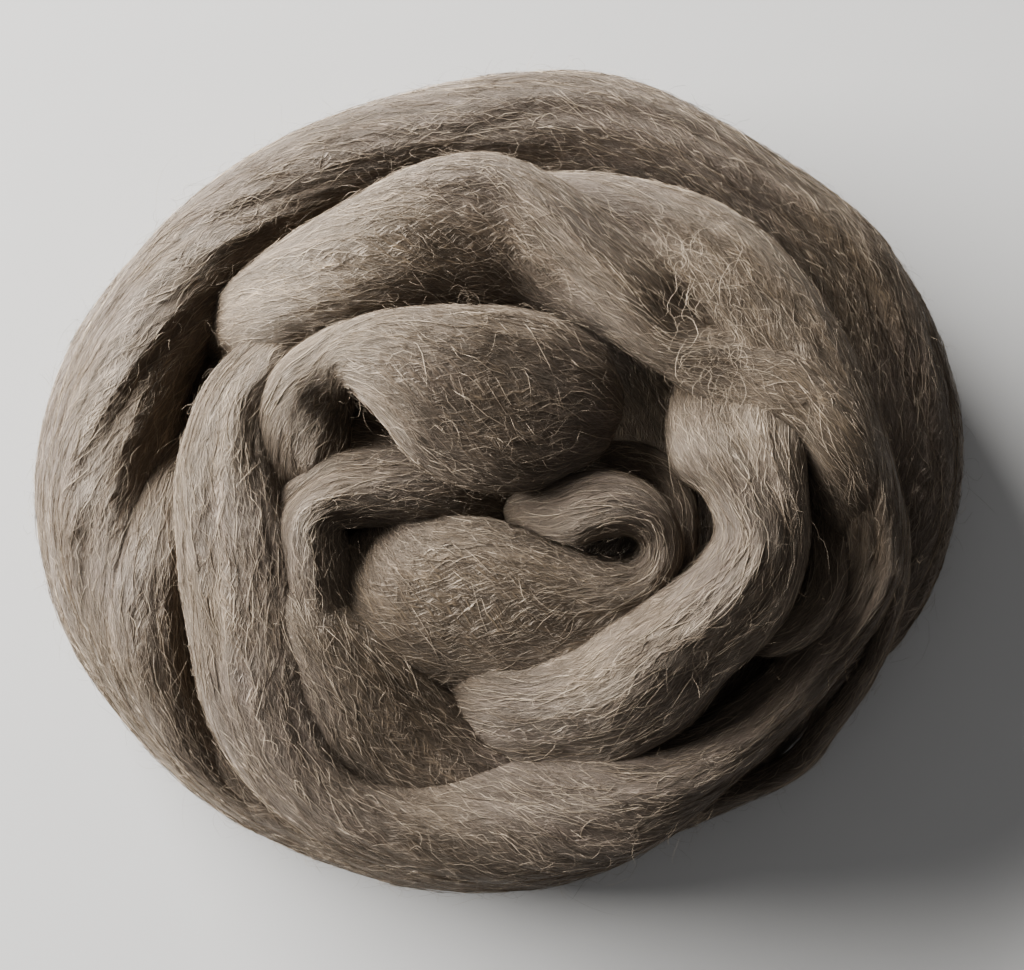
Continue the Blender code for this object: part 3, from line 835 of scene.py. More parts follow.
def drawn_out_sphere(name, sides, stations):
    """A closed ball of sides by stations, whose poles become the two tips of a tube."""
    bm = bmesh.new()
    bmesh.ops.create_uvsphere(bm, u_segments=sides, v_segments=stations + 1, radius=1.0)
    bmesh.ops.recalc_face_normals(bm, faces=bm.faces)
    mesh = bpy.data.meshes.new(name)
    bm.to_mesh(mesh)
    bm.free()
    return mesh


def vertex_array(mesh):
    places = np.empty(len(mesh.vertices) * 3)
    mesh.vertices.foreach_get("co", places)
    return places.reshape(-1, 3)


def station_and_side(places, sides, stations):
    """Which section and side each vertex of a drawn-out ball belongs to; a tip has -1 or the last."""
    from_pole = np.arctan2(np.hypot(places[:, 0], places[:, 1]), places[:, 2])
    station = np.rint(from_pole / math.pi * (stations + 1)).astype(int) - 1
    side = np.rint(np.arctan2(places[:, 1], places[:, 0]) / (2 * math.pi) * sides).astype(int) % sides
    return station, side


def length_map(mesh, surface, station, side):
    """Maps a skin by length along and distance round it in metres, with no face across the seam."""
    stations = len(surface.along)
    corner = np.empty(len(mesh.loops), int)
    mesh.loops.foreach_get("vertex_index", corner)
    first = np.empty(len(mesh.polygons), int)
    mesh.polygons.foreach_get("loop_start", first)
    sizes = np.diff(np.append(first, len(corner)))
    quarter = surface.sides // 4
    turn = ((side[corner] + quarter) % surface.sides).astype(float)
    tip = (station[corner] < 0) | (station[corner] >= stations)
    high = np.repeat(np.maximum.reduceat(np.where(tip, -1.0, turn), first), sizes)
    turn = np.where((high - turn > surface.sides / 2) & ~tip, turn + surface.sides, turn)
    turn = np.where(tip, high, turn)
    where = np.clip(station[corner], 0, stations - 1)
    angle = (turn - quarter) / surface.sides * 2 * math.pi - surface.drift[where]
    uv = np.column_stack([surface.along[where], angle * surface.mean_radius]) * MM
    layer = mesh.uv_layers.new(name=MAP_NAME)
    layer.data.foreach_set("uv", uv.ravel())


def strand_mesh(surface):
    """One stretch as a closed mesh, with its map."""
    stations = len(surface.along)
    mesh = drawn_out_sphere(surface.name, surface.sides, stations)
    station, side = station_and_side(vertex_array(mesh), surface.sides, stations)
    points = surface.points[np.clip(station, 0, stations - 1), side]
    points[station < 0] = surface.points[0].mean(axis=0)
    points[station >= stations] = surface.points[-1].mean(axis=0)
    mesh.vertices.foreach_set("co", ((points + NEST_SHIFT) * MM).ravel())
    length_map(mesh, surface, station, side)
    mesh.update()
    return mesh


def mound_mesh(name, size, top):
    """Buried turns under the others, as a low mound that carries them."""
    bm = bmesh.new()
    made = bmesh.ops.create_uvsphere(bm, u_segments=MOUND_SIDES, v_segments=MOUND_SIDES // 2, radius=0.5)
    bmesh.ops.scale(bm, vec=[side * MM for side in size], verts=made["verts"])
    bmesh.ops.translate(bm, vec=(0.0, 0.0, (top - size[2] / 2) * MM), verts=made["verts"])
    layer = bm.loops.layers.uv.new(MAP_NAME)
    for vert in bm.verts:
        vert.co.z = max(vert.co.z, FLOOR_GAP * MM)
        turn = math.atan2(vert.co.y, vert.co.x)
        for loop in vert.link_loops:
            loop[layer].uv = (turn * vert.co.xy.length, vert.co.xy.length)
    mesh = bpy.data.meshes.new(name)
    bm.to_mesh(mesh)
    bm.free()
    return mesh


def outward_facing(mesh):
    """True where a closed mesh has its faces pointing out, by the sign of its volume."""
    mesh.calc_loop_triangles()
    places = vertex_array(mesh)
    faces = np.empty(len(mesh.loop_triangles) * 3, int)
    mesh.loop_triangles.foreach_get("vertices", faces)
    corners = places[faces.reshape(-1, 3)]
    return np.linalg.det(corners).sum() > 0


def joined(name, meshes):
    """Several closed meshes as one object."""
    bm = bmesh.new()
    bm.loops.layers.uv.new(MAP_NAME)
    for mesh in meshes:
        if not outward_facing(mesh):
            mesh.flip_normals()
        bm.from_mesh(mesh)
        bpy.data.meshes.remove(mesh)
    mesh = bpy.data.meshes.new(name)
    bm.to_mesh(mesh)
    bm.free()
    mesh.shade_smooth()
    return placed(name, mesh)


def placed(name, mesh):
    piece = bpy.data.objects.new(name, mesh)
    bpy.context.scene.collection.objects.link(piece)
    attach(piece, BODY)
    return piece


def copied(name, seed, count):
    """Many copies of one mesh, as one mesh."""
    guide = bpy.data.objects.new(name + "_guide", seed)
    bpy.context.scene.collection.objects.link(guide)
    array = guide.modifiers.new("copies", "ARRAY")
    array.use_relative_offset = False
    array.use_constant_offset = True
    array.constant_offset_displace = (COPIES_APART, 0.0, 0.0)
    array.count = count
    graph = bpy.context.evaluated_depsgraph_get()
    mesh = bpy.data.meshes.new_from_object(guide.evaluated_get(graph))
    mesh.name = name
    bpy.data.objects.remove(guide)
    return mesh


def fibre_mesh(name, paths, sideways, radii, tones):
    """Many fibres as one mesh: an array of one drawn-out ball, each copy laid along its own path.

    paths is fibres by points by xyz in millimetres, sideways a direction across each point, radii the
    half thickness at each point and tones the material of each fibre.
    """
    count, points = paths.shape[:2]
    seed = drawn_out_sphere(name + "_one", FIBRE_SIDES, points - 2)
    mesh = copied(name, seed, count)
    station, side = station_and_side(vertex_array(seed), FIBRE_SIDES, points - 2)
    station = station + 1
    forward = unit(np.gradient(paths, axis=1))
    across = unit(sideways - forward * np.sum(sideways * forward, axis=2, keepdims=True))
    other = np.cross(forward, across)
    angle = side / FIBRE_SIDES * 2 * math.pi
    spread = across[:, station] * np.cos(angle)[None, :, None]
    spread = spread + other[:, station] * np.sin(angle)[None, :, None]
    tip = (station == 0) | (station == points - 1)
    size = np.where(tip[None, :], 0.0, radii[:, station])
    places = paths[:, station] + spread * size[:, :, None]
    places[:, :, 2] = np.maximum(places[:, :, 2], FLOOR_GAP)
    mesh.vertices.foreach_set("co", ((places + NEST_SHIFT) * MM).ravel())
    faces = len(mesh.polygons) // count
    mesh.polygons.foreach_set("material_index", np.repeat(tones, faces).astype(np.int32))
    mesh.update()
    if not outward_facing(mesh):
        mesh.flip_normals()
    mesh.shade_smooth()
    return placed(name, mesh)


def blocker(surfaces):
    """A search tree of all the strand's skins, to tell what is buried."""
    places = []
    faces = []
    for surface in surfaces:
        start = sum(len(block) for block in places)
        places.append(surface.points.reshape(-1, 3))
        faces.append(start + ring_quads(*surface.points.shape[:2]))
    return BVHTree.FromPolygons(np.concatenate(places).tolist(), np.concatenate(faces).tolist())


def open_to_view(tree, points, outward):
    """True for each point that can be seen from somewhere outside, above or beside the nest."""
    looks = []
    for height, count in LOOKS:
        for k in range(count):
            turn = 2 * math.pi * (k + 0.5 * (height == HALF_TURNED)) / count
            level = math.cos(math.radians(height))
            looks.append(
                Vector((level * math.cos(turn), level * math.sin(turn), math.sin(math.radians(height))))
            )
    looks.append(Vector((0.0, 0.0, 1.0)))
    seen = np.zeros(len(points), bool)
    for k, (point, out) in enumerate(zip(points, outward)):
        normal = Vector(out)
        start = Vector(point) + normal * LOOK_START
        for look in sorted(looks, key=lambda way: -way.dot(normal)):
            if look.dot(normal) < LEAST_FACING:
                break
            if tree.ray_cast(start, look)[0] is None:
                seen[k] = True
                break
    return seen


# ---------------------------------------------------------------------------------------------
# Fibres
# ---------------------------------------------------------------------------------------------


class Patches:
    """The patches of every skin that can be seen, with their areas, to scatter fibres over."""

    def __init__(self, surfaces):
        tree = blocker(surfaces)
        stretch = []
        place = []
        area = []
        for number, surface in enumerate(surfaces):
            rows = np.arange(1, len(surface.along) - 1, PATCH_STEP)
            columns = np.arange(0, surface.sides, PATCH_STEP)
            row, column = np.meshgrid(rows, columns, indexing="ij")
            points = surface.points[row, column].reshape(-1, 3)
            outward = surface.outward[row, column].reshape(-1, 3)
            seen = open_to_view(tree, points, outward) & (points[:, 2] > FLOOR_GAP + BARE_HEIGHT)
            wide = np.linalg.norm(surface.points[:, 1:] - surface.points[:, :-1], axis=2).mean(axis=1)
            size = (PATCH_STEP * surface.along[1]) * (PATCH_STEP * wide[row.ravel()])
            stretch.append(np.full(seen.sum(), number))
            place.append(np.column_stack([row.ravel()[seen], column.ravel()[seen]]))
            area.append(size[seen])
        self.surfaces = surfaces
        self.stretch = np.concatenate(stretch)
        self.place = np.concatenate(place)
        self.area = np.concatenate(area)

    def scattered(self, chance, count):
        """Stretch number, length along and angle round it for count random places."""
        share = self.area / self.area.sum()
        picked = np.sort(chance.choice(len(share), count, p=share))
        stretch = self.stretch[picked]
        spot = self.place[picked] + chance.uniform(-PATCH_STEP / 2, PATCH_STEP / 2, (count, 2))
        along = np.empty(count)
        angle = np.empty(count)
        for number, surface in enumerate(self.surfaces):
            own = stretch == number
            along[own] = spot[own, 0] * surface.along[1]
            angle[own] = spot[own, 1] / surface.sides * 2 * math.pi
        return stretch, along, angle


def laid_fibres(patches, chance, count, kind):
    """Paths and sideways directions of fibres that lie along the strand."""
    points = kind.points
    stretch, along, angle = patches.scattered(chance, count)
    length = kind.length * chance.uniform(*LAID_LENGTHS, count)
    slope = np.tan(np.radians(chance.normal(0.0, kind.stray, count)))
    bow = chance.normal(0.0, kind.bow, count)
    deep = chance.uniform(kind.sunk, kind.proud, count)
    lift = np.abs(chance.normal(0.0, kind.lift, (count, 2)))
    wave = chance.uniform(0.0, 2 * math.pi, count)
    crimp = kind.crimp * chance.uniform(*CRIMP_SHARES, count)
    t = np.linspace(0.0, 1.0, points)
    paths = np.empty((count, points, 3))
    sideways = np.empty((count, points, 3))
    for number, surface in enumerate(patches.surfaces):
        own = np.nonzero(stretch == number)[0]
        if not len(own):
            continue
        reach = np.minimum(length[own], LONGEST_LAID * surface.length)
        start = np.clip(along[own] - reach / 2, END_MARGIN, surface.length - reach - END_MARGIN)
        s = start[:, None] + reach[:, None] * t
        middle = along[own][:, None]
        side = slope[own][:, None] * (s - middle) + bow[own][:, None] * (t * (1 - t) * 4)
        side = side + crimp[own][:, None] * np.sin(s * CRIMP_RATE + wave[own][:, None])
        turn = angle[own][:, None] + surface.drift_at(s) - surface.drift_at(middle)
        turn = turn + side / surface.mean_radius
        place, outward = surface.at(s, turn)
        ends = lift[own, 0][:, None] * (1 - t) ** 3 + lift[own, 1][:, None] * t**3
        height = deep[own][:, None] + ends
        paths[own] = place + outward * height[..., None]
        sideways[own] = np.cross(np.gradient(place, axis=1), outward)
    return paths, sideways


def stray_fibres(patches, chance, count, kind):
    """Paths and sideways directions of fibres that stand off the strand."""
    points = kind.points
    stretch, along, angle = patches.scattered(chance, count)
    paths = np.empty((count, points, 3))
    length = kind.length * np.exp(chance.normal(0.0, STRAY_LENGTH_SPREAD, count))
    rise = np.radians(np.abs(chance.normal(0.0, kind.rise, count)) + LEAST_RISE)
    level = chance.uniform(*STRAY_LEVELLING, count)
    yaw = np.radians(chance.normal(0.0, kind.stray, count))
    curl = chance.normal(0.0, kind.curl, count) * math.pi
    flip = np.where(chance.uniform(size=count) < 0.5, -1.0, 1.0)
    wave = chance.uniform(0.0, 2 * math.pi, count)
    for number, surface in enumerate(patches.surfaces):
        own = np.nonzero(stretch == number)[0]
        if not len(own):
            continue
        s = np.clip(along[own], STRAY_MARGIN, surface.length - STRAY_MARGIN)
        start, outward = surface.at(s, angle[own])
        drifted = surface.drift_at(s + STRAY_AHEAD) - surface.drift_at(s)
        ahead = surface.at(s + STRAY_AHEAD, angle[own] + drifted)[0]
        run = unit(ahead - start) * flip[own][:, None]
        across = np.cross(outward, run)
        place = start - outward * STRAY_ROOT
        paths[own, 0] = place
        step = length[own] / (points - 1)
        for k in range(1, points):
            t = (k - 0.5) / (points - 1)
            pitch = rise[own] * (1.0 - 2.0 * level[own] * t)
            turn = yaw[own] + curl[own] * (t - CURL_CENTRE) + WAVE_HEIGHT * np.sin(wave[own] + WAVE_RATE * t)
            way = run * (np.cos(pitch) * np.cos(turn))[:, None]
            way = way + across * (np.cos(pitch) * np.sin(turn))[:, None]
            way = way + outward * np.sin(pitch)[:, None]
            place = place + way * step[:, None]
            paths[own, k] = place
    sideways = np.broadcast_to(np.array(ANY_WAY), paths.shape)
    return paths, sideways


def tangled_fibres(chance, count, kind):
    """Paths of fibres that curl to and fro along the tangle's line."""
    share = chance.uniform(0.0, len(TANGLE_LINE) - 1.0, count)
    corners = np.array(TANGLE_LINE)
    place = np.column_stack([np.interp(share, range(len(corners)), corners[:, axis]) for axis in range(3)])
    place = place + chance.normal(0.0, 1.0, (count, 3)) * np.array(TANGLE_SPREAD)
    paths = np.empty((count, kind.points, 3))
    step = kind.length * np.exp(chance.normal(0.0, TANGLE_LENGTH_SPREAD, count)) / (kind.points - 1)
    heading = chance.uniform(0.0, 2 * math.pi, count)
    bend = chance.normal(0.0, kind.curl, count) * math.pi / (kind.points - 1)
    rise = chance.normal(0.0, TANGLE_RISE, count)
    for k in range(kind.points):
        paths[:, k] = place
        way = np.column_stack([np.cos(heading), np.sin(heading), rise])
        place = place + way * step[:, None]
        heading = heading + bend + chance.normal(0.0, TANGLE_TURN, count)
        rise = RISE_KEPT * rise + chance.normal(0.0, RISE_CHANGE, count)
    sideways = np.broadcast_to(np.array(ANY_WAY), paths.shape)
    return paths, sideways


def thickness(chance, count, points, width):
    """Half thickness of each fibre at each point, thinning to both tips."""
    t = np.linspace(0.0, 1.0, points)
    taper = 1.0 - TIP_THINNING * np.abs(2 * t - 1) ** 2.0
    return width / 2 * chance.uniform(*FIBRE_WIDTHS, (count, 1)) * taper[None, :]


# ---------------------------------------------------------------------------------------------
# Finishes
# ---------------------------------------------------------------------------------------------


def new_socket(group, name, way, kind, value=None):
    socket = group.interface.new_socket(name=name, in_out=way, socket_type=kind)
    if value is not None:
        socket.default_value = value
    return socket


def fed(nodes, socket, value):
    """Gives a socket its value: another node's output, or a constant."""
    if isinstance(value, bpy.types.NodeSocket):
        nodes.id_data.links.new(value, socket)
    else:
        socket.default_value = value


def worked(nodes, operation, *values):
    """A sum on single values, which returns its output."""
    node = nodes.new("ShaderNodeMath")
    node.operation = operation
    for socket, value in zip(node.inputs, values):
        fed(nodes, socket, value)
    return node.outputs[0]


def mottle(nodes, vector, scale, detail):
    """A cloudy value of a scale and detail at each place."""
    node = nodes.new("ShaderNodeTexNoise")
    node.inputs["Scale"].default_value = scale
    node.inputs["Detail"].default_value = detail
    fed(nodes, node.inputs["Vector"], vector)
    return node.outputs["Fac"]


def mapped(nodes, value, source, target):
    """A value moved from one span to another."""
    node = nodes.new("ShaderNodeMapRange")
    spans = {"From Min": source[0], "From Max": source[1], "To Min": target[0], "To Max": target[1]}
    for name, end in spans.items():
        node.inputs[name].default_value = end
    fed(nodes, node.inputs["Value"], value)
    return node.outputs["Result"]


def coloured(nodes, value, stops):
    """The colour that a value picks from a ramp of places and colours, the two ends first."""
    node = nodes.new("ShaderNodeValToRGB")
    elements = node.color_ramp.elements
    for element, (position, colour) in zip(elements, stops[:2]):
        element.position = position
        element.color = (*colour, 1.0)
    for position, colour in stops[2:]:
        elements.new(position).color = (*colour, 1.0)
    fed(nodes, node.inputs[0], value)
    return node.outputs["Color"]


def own_place(nodes):
    return nodes.new("ShaderNodeTexCoord").outputs["Object"]


def streak_group():
    """Streaks that run the length of the strand: a varying value from 0 to 1."""
    name = "Lengthwise streaks"
    if name in bpy.data.node_groups:
        return bpy.data.node_groups[name]
    group = bpy.data.node_groups.new(name, "ShaderNodeTree")
    new_socket(group, "Vector", "INPUT", "NodeSocketVector")
    new_socket(group, "Per metre along", "INPUT", "NodeSocketFloat", 50.0)
    new_socket(group, "Per metre across", "INPUT", "NodeSocketFloat", 2000.0)
    new_socket(group, "Waver", "INPUT", "NodeSocketFloat", 0.0006)
    new_socket(group, "Slant", "INPUT", "NodeSocketFloat", 0.0)
    new_socket(group, "Detail", "INPUT", "NodeSocketFloat", 3.0)
    new_socket(group, "Streaks", "OUTPUT", "NodeSocketFloat")
    nodes = group.nodes
    given = nodes.new("NodeGroupInput").outputs
    split = nodes.new("ShaderNodeSeparateXYZ")
    fed(nodes, split.inputs[0], given["Vector"])
    sway = worked(nodes, "SUBTRACT", mottle(nodes, given["Vector"], SWAY_PER_METRE, 2.0), 0.5)
    shifted = worked(nodes, "ADD", split.outputs["Y"], worked(nodes, "MULTIPLY", sway, given["Waver"]))
    slanted = worked(nodes, "MULTIPLY_ADD", split.outputs["X"], given["Slant"], shifted)
    drawn = nodes.new("ShaderNodeCombineXYZ")
    fed(nodes, drawn.inputs["X"], worked(nodes, "MULTIPLY", split.outputs["X"], given["Per metre along"]))
    fed(nodes, drawn.inputs["Y"], worked(nodes, "MULTIPLY", slanted, given["Per metre across"]))
    noise = nodes.new("ShaderNodeTexNoise")
    noise.inputs["Scale"].default_value = 1.0
    noise.inputs["Roughness"].default_value = 0.6
    fed(nodes, noise.inputs["Vector"], drawn.outputs[0])
    fed(nodes, noise.inputs["Detail"], given["Detail"])
    fed(nodes, nodes.new("NodeGroupOutput").inputs["Streaks"], noise.outputs["Fac"])
    return group


def streaks(nodes, vector, kind):
    """One placing of the streak group, which returns its output."""
    node = nodes.new("ShaderNodeGroup")
    node.node_tree = streak_group()
    node.inputs["Per metre along"].default_value = kind.along
    node.inputs["Per metre across"].default_value = kind.across
    node.inputs["Waver"].default_value = kind.waver
    node.inputs["Detail"].default_value = kind.detail
    node.inputs["Slant"].default_value = kind.slant
    fed(nodes, node.inputs["Vector"], vector)
    return node.outputs["Streaks"]


def weighed(nodes, parts):
    """The sum of several values, each by its own weight."""
    total = 0.0
    for value, weight in parts:
        total = worked(nodes, "MULTIPLY_ADD", value, weight, total)
    return total


def uppermost(nodes, values):
    """The highest of several values at each place, as fibres lie over one another."""
    top = values[0]
    for value in values[1:]:
        top = worked(nodes, "MAXIMUM", top, value)
    return top


def soft_gloss(surface, specular):
    """The warm soft shine of wool, with a faint bloom of down."""
    surface.inputs["Specular IOR Level"].default_value = specular
    surface.inputs["Specular Tint"].default_value = (*WARM_GLOSS, 1.0)
    surface.inputs["Sheen Weight"].default_value = BLOOM
    surface.inputs["Sheen Tint"].default_value = (*WARM_GLOSS, 1.0)


def combed(colours):
    """The strand's own finish: fine fibres side by side, with lighter and darker locks among them."""
    material = bpy.data.materials.new("combed fibres")
    material.use_nodes = True
    nodes = material.node_tree.nodes
    surface = nodes["Principled BSDF"]
    where = nodes.new("ShaderNodeUVMap")
    where.uv_map = MAP_NAME
    crossed = uppermost(nodes, [streaks(nodes, where.outputs[0], kind) for kind in FINE_STREAKS])
    locks = streaks(nodes, where.outputs[0], LOCK_STREAKS)
    broad = streaks(nodes, where.outputs[0], BROAD_STREAKS)
    mixed = weighed(nodes, zip((crossed, locks), COLOUR_WEIGHTS))
    raised = weighed(nodes, zip((crossed, locks), RELIEF_WEIGHTS))
    # The first stop is painted shade: a dark colour given to the gaps between fibres.
    stops = [(GAP_SHADE_AT, colours.gap_shade), (PALE_AT, colours.pale), (BROWN_AT, colours.brown)]
    tone = nodes.new("ShaderNodeVectorMath")
    tone.operation = "SCALE"
    fed(nodes, tone.inputs[0], coloured(nodes, mixed, stops))
    fed(nodes, tone.inputs["Scale"], mapped(nodes, broad, NOISE_SPAN, BROAD_SHADES))
    fleece = mottle(nodes, own_place(nodes), FLEECE_PER_METRE, 2.0)
    tinted = nodes.new("ShaderNodeVectorMath")
    tinted.operation = "MULTIPLY"
    fed(nodes, tinted.inputs[0], tone.outputs[0])
    fed(nodes, tinted.inputs[1], coloured(nodes, fleece, [(WARM_AT, WARM_CAST), (COOL_AT, COOL_CAST)]))
    fed(nodes, surface.inputs["Base Color"], tinted.outputs[0])
    fed(nodes, surface.inputs["Roughness"], mapped(nodes, crossed, STREAK_SPAN, WOOL_ROUGHNESS))
    bump = nodes.new("ShaderNodeBump")
    bump.inputs["Strength"].default_value = 1.0
    bump.inputs["Distance"].default_value = RELIEF_HEIGHT
    fed(nodes, bump.inputs["Height"], raised)
    fed(nodes, surface.inputs["Normal"], bump.outputs["Normal"])
    soft_gloss(surface, WOOL_GLOSS)
    return material


def fibre_finish(name, colour):
    """One shade of single fibre, with a gloss that comes and goes along it."""
    material = bpy.data.materials.new(name)
    material.use_nodes = True
    nodes = material.node_tree.nodes
    surface = nodes["Principled BSDF"]
    surface.inputs["Base Color"].default_value = (*colour, 1.0)
    gloss = mottle(nodes, own_place(nodes), FIBRE_GLOSS_PER_METRE, 3.0)
    fed(nodes, surface.inputs["Roughness"], mapped(nodes, gloss, NOISE_SPAN, FIBRE_ROUGHNESS))
    soft_gloss(surface, FIBRE_GLOSS)
    return material


def shades(colours):
    """The shades of single fibres, from palest to darkest."""
    made = []
    for shade in ("pale", "fawn", "brown", "dark"):
        name = shade + " fibre"
        made.append(bpy.data.materials.get(name) or fibre_finish(name, getattr(colours, shade)))
    return made


def backdrop_finish(colour):
    """Pale matt board with a faint mottling."""
    material = bpy.data.materials.new("pale board")
    material.use_nodes = True
    nodes = material.node_tree.nodes
    surface = nodes["Principled BSDF"]
    shaded = [BOARD_SHADE * part for part in colour]
    mottled = mottle(nodes, own_place(nodes), BOARD_PER_METRE, 6.0)
    fed(nodes, surface.inputs["Base Color"], coloured(nodes, mottled, [(0.0, shaded), (1.0, colour)]))
    surface.inputs["Roughness"].default_value = 0.9
    surface.inputs["Specular IOR Level"].default_value = 0.2
    return material


# ---------------------------------------------------------------------------------------------
# Settings, operators and panel
# ---------------------------------------------------------------------------------------------


class WoolColours(bpy.types.PropertyGroup):
    """Colours of the wool."""

    pale: FloatVectorProperty(
        name="Pale fibre", description="Colour of the palest fibres",
        subtype="COLOR", default=(0.30, 0.236, 0.168),
    )
    fawn: FloatVectorProperty(
        name="Fawn fibre", description="Colour of most fibres",
        subtype="COLOR", default=(0.12, 0.088, 0.06),
    )
    brown: FloatVectorProperty(
        name="Brown fibre", description="Colour of the browner fibres",
        subtype="COLOR", default=(0.072, 0.054, 0.039),
    )
    dark: FloatVectorProperty(
        name="Dark fibre", description="Colour of the darkest fibres",
        subtype="COLOR", default=(0.050, 0.037, 0.026),
    )
    # Painted shade: the gaps between fibres get this dark colour in place of the shade that falls in them.
    gap_shade: FloatVectorProperty(
        name="Shade between fibres", description="Painted shade in the gaps between fibres",
        subtype="COLOR", default=(0.026, 0.019, 0.013),
    )


class FibreSizes(bpy.types.PropertyGroup):
    """How many fibres there are, and how thick."""

    laid: IntProperty(
        name="Fibres in a layer", description="Fibres laid along the strand in each layer",
        default=9500, min=1,
    )
    down: IntProperty(
        name="Down", description="Shortest fibres, which hardly rise from the strand",
        default=8500, min=1,
    )
    fuzz: IntProperty(
        name="Fuzz", description="Short fibres that curl out of the strand",
        default=9500, min=1,
    )
    stray: IntProperty(
        name="Stray fibres", description="Fibres that stand off the strand",
        default=1700, min=1,
    )
    width: FloatProperty(
        name="Fibre width", description="Width of a laid fibre",
        default=0.00011, unit="LENGTH", precision=5,
    )
    stray_width: FloatProperty(
        name="Stray width", description="Width of a stray fibre",
        default=0.00006, unit="LENGTH", precision=5,
    )


class StageLight(bpy.types.PropertyGroup):
    """Floor and light round the nest."""

    floor: FloatVectorProperty(
        name="Floor", description="Colour of the floor", subtype="COLOR", default=(0.49, 0.479, 0.461)
    )
    key: FloatProperty(
        name="Key light", description="Power of the large soft light", default=430.0, unit="POWER"
    )
    sky: FloatProperty(
        name="Room light", description="Strength of the light from all round", default=0.235, min=0.0
    )


SKINS = {}


def skins(part):
    """The skins of the rings, the folds or both, made once."""
    if not SKINS:
        every = RING_STRETCHES + FOLD_STRETCHES
        SKINS["all"] = blended([Surface(number, stretch) for number, stretch in enumerate(every)])
        SKINS["rings"] = SKINS["all"][: len(RING_STRETCHES)]
        SKINS["folds"] = SKINS["all"][len(RING_STRETCHES) :]
    return SKINS[part]


def patches():
    """The visible patches of every skin, found once."""
    if "patches" not in SKINS:
        SKINS["patches"] = Patches(skins("all"))
    return SKINS["patches"]


class NEST_OT_rings(bpy.types.Operator):
    """Lays the turns of the two rings, and the buried turns that carry them."""

    bl_idname = "nest.rings"
    bl_label = "Lay the rings"

    def execute(self, context):
        meshes = [strand_mesh(surface) for surface in skins("rings")]
        meshes += [mound_mesh("bed", BED, BED_TOP), mound_mesh("heart", HEART, HEART_TOP)]
        piece = joined("strand_rings", meshes)
        piece.data.materials.append(combed(context.scene.wool_colours))
        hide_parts(SOLID)
        return {"FINISHED"}


class NEST_OT_folds(bpy.types.Operator):
    """Lays the folds that run to and fro over the middle, and the loose outer strand."""

    bl_idname = "nest.folds"
    bl_label = "Lay the folds"

    def execute(self, context):
        piece = joined("strand_folds", [strand_mesh(surface) for surface in skins("folds")])
        piece.data.materials.append(bpy.data.materials["combed fibres"])
        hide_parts(SOLID)
        return {"FINISHED"}


def fibre_piece(context, chance, kind, count, width, laid):
    """One layer of fibres as a finished piece, from the paths and sideways directions that laid holds."""
    paths, sideways = laid
    radii = thickness(chance, count, kind.points, width / MM * kind.width)
    tones = chance.choice(len(kind.tones), count, p=kind.tones)
    piece = fibre_mesh(kind.name, paths, sideways, radii, tones)
    for shade in shades(context.scene.wool_colours):
        piece.data.materials.append(shade)


class NEST_OT_fibres(bpy.types.Operator):
    """Lays fibres along the strand, in layers from the deepest to the loosest."""

    bl_idname = "nest.fibres"
    bl_label = "Lay the fibres"

    def execute(self, context):
        sizes = context.scene.fibre_sizes
        for number, kind in enumerate(LAYERS):
            chance = np.random.default_rng(LAID_SEED + number)
            laid = laid_fibres(patches(), chance, sizes.laid, kind)
            fibre_piece(context, chance, kind, sizes.laid, sizes.width, laid)
        return {"FINISHED"}


class NEST_OT_strays(bpy.types.Operator):
    """Stands stray fibres off the strand as a thin fuzz."""

    bl_idname = "nest.strays"
    bl_label = "Raise the stray fibres"

    def execute(self, context):
        sizes = context.scene.fibre_sizes
        counts = (sizes.down, sizes.fuzz, sizes.stray)
        for number, (kind, count) in enumerate(zip(STRAYS, counts)):
            chance = np.random.default_rng(STRAY_SEED + number)
            laid = stray_fibres(patches(), chance, count, kind)
            fibre_piece(context, chance, kind, count, sizes.stray_width, laid)
        return {"FINISHED"}


class NEST_OT_tangle(bpy.types.Operator):
    """Curls a few long fibres together beside the arch and over the start of the inner loop."""

    bl_idname = "nest.tangle"
    bl_label = "Curl the tangle"

    def execute(self, context):
        chance = np.random.default_rng(TANGLE_SEED)
        laid = tangled_fibres(chance, TANGLE_COUNT, TANGLE)
        fibre_piece(context, chance, TANGLE, TANGLE_COUNT, context.scene.fibre_sizes.stray_width, laid)
        return {"FINISHED"}


def floor_board(colour):
    """The flat floor under the nest."""
    bm = bmesh.new()
    bmesh.ops.create_grid(bm, x_segments=1, y_segments=1, size=FLOOR_SIZE / 2)
    mesh = bpy.data.meshes.new("floor")
    bm.to_mesh(mesh)
    bm.free()
    mesh.materials.append(backdrop_finish(colour))
    return bpy.data.objects.new("floor", mesh)


def window_light(power):
    """The large soft light from the upper left."""
    lamp = bpy.data.lights.new("window light", "AREA")
    lamp.shape = "RECTANGLE"
    lamp.size, lamp.size_y = KEY_SIZE
    lamp.energy = power
    light = bpy.data.objects.new("window light", lamp)
    light.location = KEY_PLACE
    light.rotation_euler = (Vector(KEY_PLACE) - Vector(KEY_AIM)).to_track_quat("Z", "Y").to_euler()
    return light


def room_light(strength):
    """Faint light from all round."""
    world = bpy.data.worlds.new("room")
    world.use_nodes = True
    sky = world.node_tree.nodes["Background"]
    sky.inputs["Color"].default_value = (*SKY_COLOUR, 1.0)
    sky.inputs["Strength"].default_value = strength
    return world


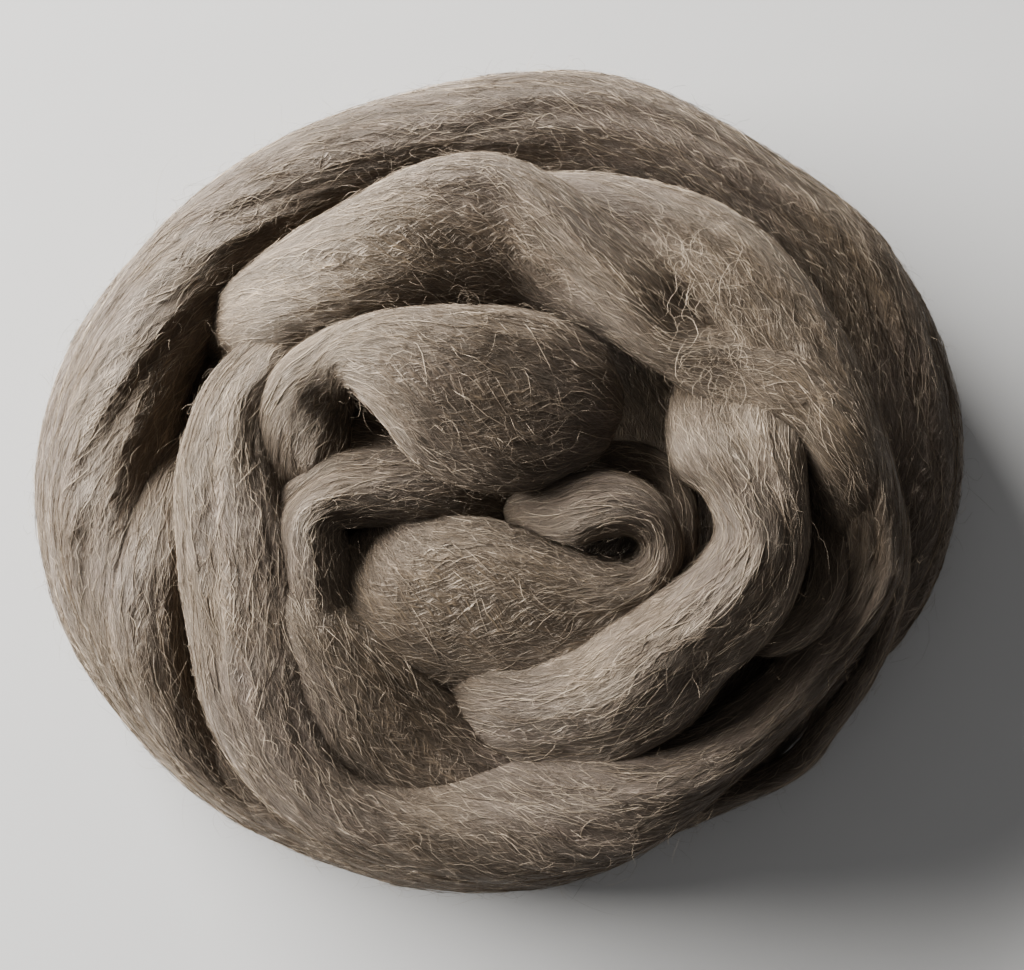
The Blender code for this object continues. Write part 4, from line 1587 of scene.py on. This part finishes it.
def overhead_camera():
    """A camera that looks almost straight down."""
    lens = bpy.data.cameras.new("camera")
    lens.lens = LENS
    lens.sensor_width = SENSOR
    camera = bpy.data.objects.new("camera", lens)
    camera.location = CAMERA_PLACE
    camera.rotation_euler = (math.radians(CAMERA_TILT), 0.0, 0.0)
    return camera


class NEST_OT_stage(bpy.types.Operator):
    """Sets the floor, the soft light from the upper left, and the camera nearly overhead."""

    bl_idname = "nest.stage"
    bl_label = "Set the stage"

    def execute(self, context):
        settings = context.scene.stage_light
        floor = floor_board(settings.floor)
        camera = overhead_camera()
        for item in (floor, window_light(settings.key), camera):
            context.scene.collection.objects.link(item)
        context.scene.world = room_light(settings.sky)
        context.scene.camera = camera
        return {"FINISHED"}


class NEST_PT_panel(bpy.types.Panel):
    """Steps and settings of the wool nest."""

    bl_idname = "NEST_PT_panel"
    bl_label = "Wool nest"
    bl_space_type = "VIEW_3D"
    bl_region_type = "UI"
    bl_category = "Wool"

    def draw(self, context):
        for step in STEPS:
            self.layout.operator(step)
        for group in (context.scene.wool_colours, context.scene.fibre_sizes, context.scene.stage_light):
            box = self.layout.box()
            for name in group.__annotations__:
                box.prop(group, name)


STEPS = ("nest.rings", "nest.folds", "nest.fibres", "nest.strays", "nest.tangle", "nest.stage")
CLASSES = (
    WoolColours,
    FibreSizes,
    StageLight,
    NEST_OT_rings,
    NEST_OT_folds,
    NEST_OT_fibres,
    NEST_OT_strays,
    NEST_OT_tangle,
    NEST_OT_stage,
    NEST_PT_panel,
)


def register():
    for item in CLASSES:
        bpy.utils.register_class(item)
    bpy.types.Scene.wool_colours = PointerProperty(type=WoolColours)
    bpy.types.Scene.fibre_sizes = PointerProperty(type=FibreSizes)
    bpy.types.Scene.stage_light = PointerProperty(type=StageLight)


def unregister():
    del bpy.types.Scene.wool_colours
    del bpy.types.Scene.fibre_sizes
    del bpy.types.Scene.stage_light
    for item in reversed(CLASSES):
        bpy.utils.unregister_class(item)


def main():
    register()
    for step in STEPS:
        space, name = step.split(".")
        getattr(getattr(bpy.ops, space), name)()


if __name__ == "__main__":
    main()
